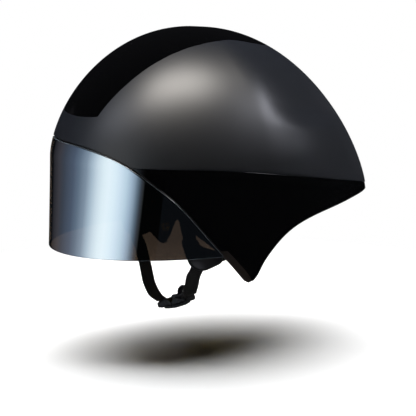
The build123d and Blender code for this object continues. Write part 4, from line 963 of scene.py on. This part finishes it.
turn = np.linspace(0, 2 * math.pi, LOOP_STEPS, endpoint=False)
squared = (np.abs(np.cos(turn)) ** LOOP_POWER + np.abs(np.sin(turn)) ** LOOP_POWER) ** (-1 / LOOP_POWER)
for node, (reach, half_length, half_height, body) in LOOP_PLACES.items():
    along, up = reach + half_length * squared * np.cos(turn), half_height * squared * np.sin(turn)
    line = BUCKLE_AT + np.stack([along, 0 * turn, up], -1) @ BUCKLE_AXES
    loop = band(node + "_band", line, np.tile(BUCKLE_AXES[1], (LOOP_STEPS, 1)), closed=True)
    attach(loop, body)
    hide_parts(node)
    print(node, "goes round a bar", 2 * half_length, "by", 2 * half_height, "mm")

# %% [markdown]
# The buckle is moulded acetal: two halves that hook together, each with a bar between two rails for the
# webbing, a lip round the lower edge, and a V-shaped gap on top where they meet. A leaf-shaped tab on a
# pin stands up from the sliding half. Each is a few bars whose cross-section is a rounded rectangle that
# changes along the way, because a moulding has no sharp corners.

# %% Moulded bars
BOSS_STEPS = 17
BOSS_END = 0.1


def moulded_rings(stations, power=6.0, fillet=0.8, at=BUCKLE_AT, axes=BUCKLE_AXES, rows=30, columns=44):
    """Rings of a moulded bar: across, each is a superellipse between straight-line values of the stations,
    which give place along, middle and half width, bottom and top. Both ends are rounded by the fillet."""
    stations = np.array(stations, float)
    first, last = stations[0, 0], stations[-1, 0]
    along = crowded(first, last, rows)
    middle, half, low, high = [np.interp(along, stations[:, 0], column)[:, None] for column in stations.T[1:]]
    away = np.clip(np.minimum(along - first, last - along)[:, None] / fillet, 0, 1)
    trim = fillet * (1 - np.sqrt(1 - (1 - away) ** 2))
    turn = np.linspace(0, 2 * math.pi, columns, endpoint=False)
    across = np.sign(np.cos(turn)) * np.abs(np.cos(turn)) ** (2 / power)
    up = np.sign(np.sin(turn)) * np.abs(np.sin(turn)) ** (2 / power)
    local = np.broadcast_arrays(along[:, None], middle + (half - trim) * across,
                                (low + high) / 2 + ((high - low) / 2 - trim) * up)
    return at + np.stack(local, -1) @ axes


def both_sides(stations):
    """The same stations with the middle on each side of the buckle."""
    stations = np.array(stations, float)
    return stations, stations * [1, -1, 1, 1, 1]


def boss(along, across, up, radius, half):
    """Stations of a round boss whose axis lies across the buckle: its rise follows a half circle."""
    steps = radius * np.cos(np.linspace(math.pi, 0, BOSS_STEPS))
    rise = np.sqrt(np.maximum(radius ** 2 - steps ** 2, BOSS_END**2))
    ones = np.ones(BOSS_STEPS)
    return np.stack([along + steps, across * ones, half * ones, up - rise, up + rise], 1)


# %% Buckle halves
# Stations are place along, middle, half width, bottom and top, in millimetres from the buckle's middle.
BASE_MIDDLE = [
    [(-10.9, 0, 9.0, -3.5, 3.8), (-8.5, 0, 9.0, -3.6, 4.4), (-3.9, 0, 9.0, -3.6, 4.4),
     (-0.3, 0, 9.0, -3.6, 0.2)],
    [(-10.5, 0, 8.3, -4.9, -3.2), (-6.0, 0, 8.3, -5.7, -3.2), (-0.3, 0, 8.3, -6.2, -3.2)],
    [(-16.2, 0, 8.0, -2.0, 2.0), (-12.9, 0, 8.0, -2.0, 2.0)]]
BASE_RAIL = [(-17.4, 8.1, 1.0, -2.3, 1.9), (-15.9, 8.2, 1.2, -3.1, 2.5), (-14.4, 8.1, 1.0, -2.6, 1.8),
             (-12.8, 8.1, 1.0, -2.8, 1.6), (-9.5, 8.1, 0.9, -3.6, 3.4)]
BASE_RIB = [(-6.9, 8.9, 0.7, -2.9, 3.9), (-5.3, 8.9, 0.7, -2.9, 3.9)]
SLIDER_MIDDLE = [
    [(0.3, 0, 9.0, -3.6, 0.2), (3.6, 0, 9.0, -3.6, 4.0), (8.0, 0, 9.0, -3.4, 3.6), (10.4, 0, 8.8, -3.0, 3.0)],
    [(0.3, 0, 8.3, -6.2, -3.2), (5.0, 0, 8.3, -6.2, -3.2), (10.0, 0, 8.3, -4.6, -2.8)],
    [(12.8, 0, 8.0, -1.6, 1.6), (15.6, 0, 8.0, -1.6, 1.6)]]
SLIDER_RAIL = [(9.5, 8.0, 0.9, -3.0, 2.6), (12.5, 8.0, 0.9, -1.5, 1.2), (16.4, 8.0, 0.9, -1.2, 1.2)]
PIN_BOSSES = [(4.5, 7.4, 4.8, 2.2, 1.5), (9.2, 8.9, 0.3, 1.1, 0.6)]

base_tubes = [moulded_rings(stations) for stations in BASE_MIDDLE]
base_tubes += [moulded_rings(stations, power=3.5) for stations in both_sides(BASE_RAIL)]
base_tubes += [moulded_rings(stations, fillet=0.5) for stations in both_sides(BASE_RIB)]
slider_tubes = [moulded_rings(stations) for stations in SLIDER_MIDDLE]
slider_tubes += [moulded_rings(stations, power=3.5) for stations in both_sides(SLIDER_RAIL)]
slider_tubes += [moulded_rings(boss(along, side * across, up, radius, half), power=8.0, fillet=0.1)
                 for side in (-1, 1) for along, across, up, radius, half in PIN_BOSSES]

# %% Cam tab
LEAF_LEAN = math.radians(50.0)
LEAF_FROM = (4.5, 0.0, 4.8)
LEAF_SHAPE = [(0.0, 2.6, 1.3), (2.5, 2.9, 1.2), (5.0, 4.3, 1.2), (7.5, 4.8, 1.2), (9.3, 4.3, 1.1),
              (10.6, 3.0, 0.9), (11.2, 1.6, 0.8)]
LEAF_BOSS = (0.0, 0.0, 0.0, 1.9, 5.4)

leaning = np.array([(math.cos(LEAF_LEAN), 0, math.sin(LEAF_LEAN)), (0, 1, 0),
                    (-math.sin(LEAF_LEAN), 0, math.cos(LEAF_LEAN))])
leaf_place = {"at": BUCKLE_AT + np.array(LEAF_FROM) @ BUCKLE_AXES, "axes": leaning @ BUCKLE_AXES}
leaf = [(along, 0, half, -thick, thick) for along, half, thick in LEAF_SHAPE]
leaf_tubes = [moulded_rings(leaf, power=2.6, fillet=0.5, **leaf_place),
              moulded_rings(boss(*LEAF_BOSS), power=8.0, fillet=0.1, **leaf_place)]
for node, name, tubes, body in (("buckle_base", "buckle_base_body", base_tubes, "helmet"),
                                ("buckle_slider", "buckle_slider_body", slider_tubes, "buckle_tab"),
                                ("buckle_lever", "buckle_lever_leaf", leaf_tubes, "cam_lever")):
    piece = tube_piece(name, tubes)
    piece.data.materials.append(acetal)
    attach(piece, body)
    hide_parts(node)
    print(name, "has", len(tubes), "bars and", len(piece.data.polygons), "faces")

# %% [markdown]
# The dividers gather the two webbings below each ear. Each is a thin moulded plate with a raised rim,
# drawn as an outline with its corners cut, carried from the middle out to the rim and round to the back.

# %% Strap dividers
DIVIDER_OUTLINE = [(-48.0, -71.0), (-46.0, -66.0), (-33.0, -67.0), (-29.0, -76.0), (-16.0, -80.5),
                   (-7.0, -84.0), (-5.0, -93.5), (-15.0, -97.0), (-27.0, -100.5), (-38.5, -95.0),
                   (-42.5, -86.0)]
DIVIDER_RIM = [(0.02, 1.2), (0.80, 1.2), (0.86, 1.7), (0.95, 1.7), (1.0, 1.1),
               (1.0, -1.1), (0.95, -1.7), (0.86, -1.7), (0.80, -1.2), (0.02, -1.2)]
DIVIDER_X = 80.0
FAR_DIVIDER_BACK = 8.0
CORNER_CUTS = 3


def cut_corners(points, times):
    """Closed outline whose corners are cut at a quarter of each side, several times over."""
    for _ in range(times):
        after = np.roll(points, -1, 0)
        points = np.stack([0.75 * points + 0.25 * after, 0.25 * points + 0.75 * after], 1).reshape(-1, 2)
    return points


outline = cut_corners(np.array(DIVIDER_OUTLINE), CORNER_CUTS)
centre = outline.mean(0)
share, proud = np.array(DIVIDER_RIM).T
flat = centre + share[:, None, None] * (outline - centre)
for side, name, back in ((1, "left", 0.0), (-1, "right", FAR_DIVIDER_BACK)):
    x = np.broadcast_to(side * (DIVIDER_X + proud[:, None]), flat.shape[:2])
    rings = np.stack([x, flat[..., 0] + back, flat[..., 1]], -1)
    plate = tube_piece("strap_divider_" + name + "_plate", [rings])
    plate.data.materials.append(acetal)
    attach(plate, "helmet")
    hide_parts("strap_divider_" + name)
print("dividers are", round(float(2 * proud.max()), 1), "mm thick at the rim")

# %% [markdown]
# The strips inside the flaps are a smooth yellow weave that looks olive through the tinted lens. Each is
# a thin band on the form, 1 mm thick.

# %% Strips inside the flaps
STRIP_FACE = 4.6
STRIP_WALL = 1.0
STRIP_Y = (14.0, 22.0)
STRIP_Z = (-100.0, -62.0)
STRIP_TRIM = 0.02
STRIP_ROWS = 60
STRIP_COLUMNS = 12

# Knitted slip fabric: a soft yellow with fine rows, which are drawn twice as coarse as the real ones.
strip_weave, tree, shader = material("yellow slip weave", Roughness=0.5, Sheen_Weight=0.2)
weave(tree, shader, ("#b3a032", "#9a8724", "#5d5117"), (1.2, 0.6), 0.06, 0.4, 0.2)
z = np.linspace(STRIP_Z[0] + STRIP_TRIM, STRIP_Z[1] - STRIP_TRIM, STRIP_ROWS)[:, None]
y = np.linspace(STRIP_Y[0] + STRIP_TRIM, STRIP_Y[1] - STRIP_TRIM, STRIP_COLUMNS)[None]
insets = STRIP_FACE + STRIP_TRIM, STRIP_FACE + STRIP_WALL - STRIP_TRIM
sheets = [np.stack(np.broadcast_arrays(side_x(along, z, inset), along, z), -1)
          for along, inset in zip((y, y[:, ::-1]), insets)]
strip_rings = np.concatenate(sheets, 1)
strip_uv = (strip_rings[..., 1:] * MM).reshape(-1, 2)
for side, name in ((1, "left"), (-1, "right")):
    strip = tube_piece("flap_strip_" + name + "_weave", [strip_rings * [side, 1, 1]], strip_uv, smooth=False)
    strip.data.materials.append(strip_weave)
    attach(strip, "helmet")
    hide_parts("flap_strip_" + name)
print("strips are", STRIP_Y[1] - STRIP_Y[0], "by", STRIP_Z[1] - STRIP_Z[0], "mm")

# %% [markdown]
# The comfort pads are soft foam in a knitted cover. Each starts as its solid, a little smaller, and is
# blown up as cloth under pressure, so its faces crown and its ends round off as a stuffed pad's do.

# %% Padded pads
PADS = {"brow_pad": "helmet", "side_pad_left": "helmet", "side_pad_right": "helmet", "crown_pad_left": "helmet",
        "crown_pad_right": "helmet", "nape_pad": "fit_unit"}
PAD_VOXEL = 2.0
PAD_SHRINK = 0.9
PAD_CAP = 1.0
PAD_PRESSURE = 4.0
PAD_FRAMES = 20

# Brushed knit: raised hairs 0.9 mm apart, coarser than real, scatter light at the pads' rims.
knit = grained("brushed black knit", "#17171a", 0.9, 0.5, Roughness=0.95, Sheen_Weight=0.4, Sheen_Roughness=0.4)


def baked(piece):
    """Replace the piece's mesh by what its modifiers make of it."""
    shape = bpy.data.meshes.new_from_object(piece.evaluated_get(bpy.context.evaluated_depsgraph_get()))
    piece.modifiers.clear()
    piece.data = shape


def move_points(piece, points):
    """Put the piece's points at these places in millimetres."""
    piece.data.vertices.foreach_set("co", (points * MM).astype(np.float32).ravel())


def pad_copy(node):
    """The pad's solid as a new even mesh, drawn in along its own normals."""
    piece = new_object(node + "_padded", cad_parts[node].data.copy())
    remesh = piece.modifiers.new("even", "REMESH")
    remesh.mode = "VOXEL"
    remesh.voxel_size = PAD_VOXEL * MM
    baked(piece)
    normals = np.empty(len(piece.data.vertices) * 3, np.float32)
    piece.data.vertices.foreach_get("normal", normals)
    move_points(piece, points_of(piece) - normals.reshape(-1, 3) * PAD_SHRINK)
    return piece


pads = {node: pad_copy(node) for node in PADS}
starts = {node: points_of(piece) for node, piece in pads.items()}
for piece in pads.values():
    cloth = piece.modifiers.new("swell", "CLOTH")
    cloth.settings.use_pressure = True
    cloth.settings.uniform_pressure_force = PAD_PRESSURE
    cloth.settings.effector_weights.gravity = 0.0
    cloth.point_cache.frame_end = PAD_FRAMES
for step in range(1, PAD_FRAMES + 1):
    bpy.context.scene.frame_set(step)
for node, piece in pads.items():
    baked(piece)
    moved = points_of(piece) - starts[node]
    size = np.linalg.norm(moved, axis=1, keepdims=True)
    move_points(piece, starts[node] + moved * np.minimum(1, PAD_CAP / np.maximum(size, 1e-6)))
    print(node, "swelled by up to", round(float(np.minimum(size, PAD_CAP).max()), 2), "mm")
bpy.context.scene.frame_set(1)
for node, piece in pads.items():
    finer = piece.modifiers.new("finer", "SUBSURF")
    finer.levels = finer.render_levels = 1
    baked(piece)
    piece.data.materials.clear()
    piece.data.materials.append(knit)
    piece.data.polygons.foreach_set("use_smooth", np.ones(len(piece.data.polygons), bool))
    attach(piece, PADS[node])
    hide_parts(node)
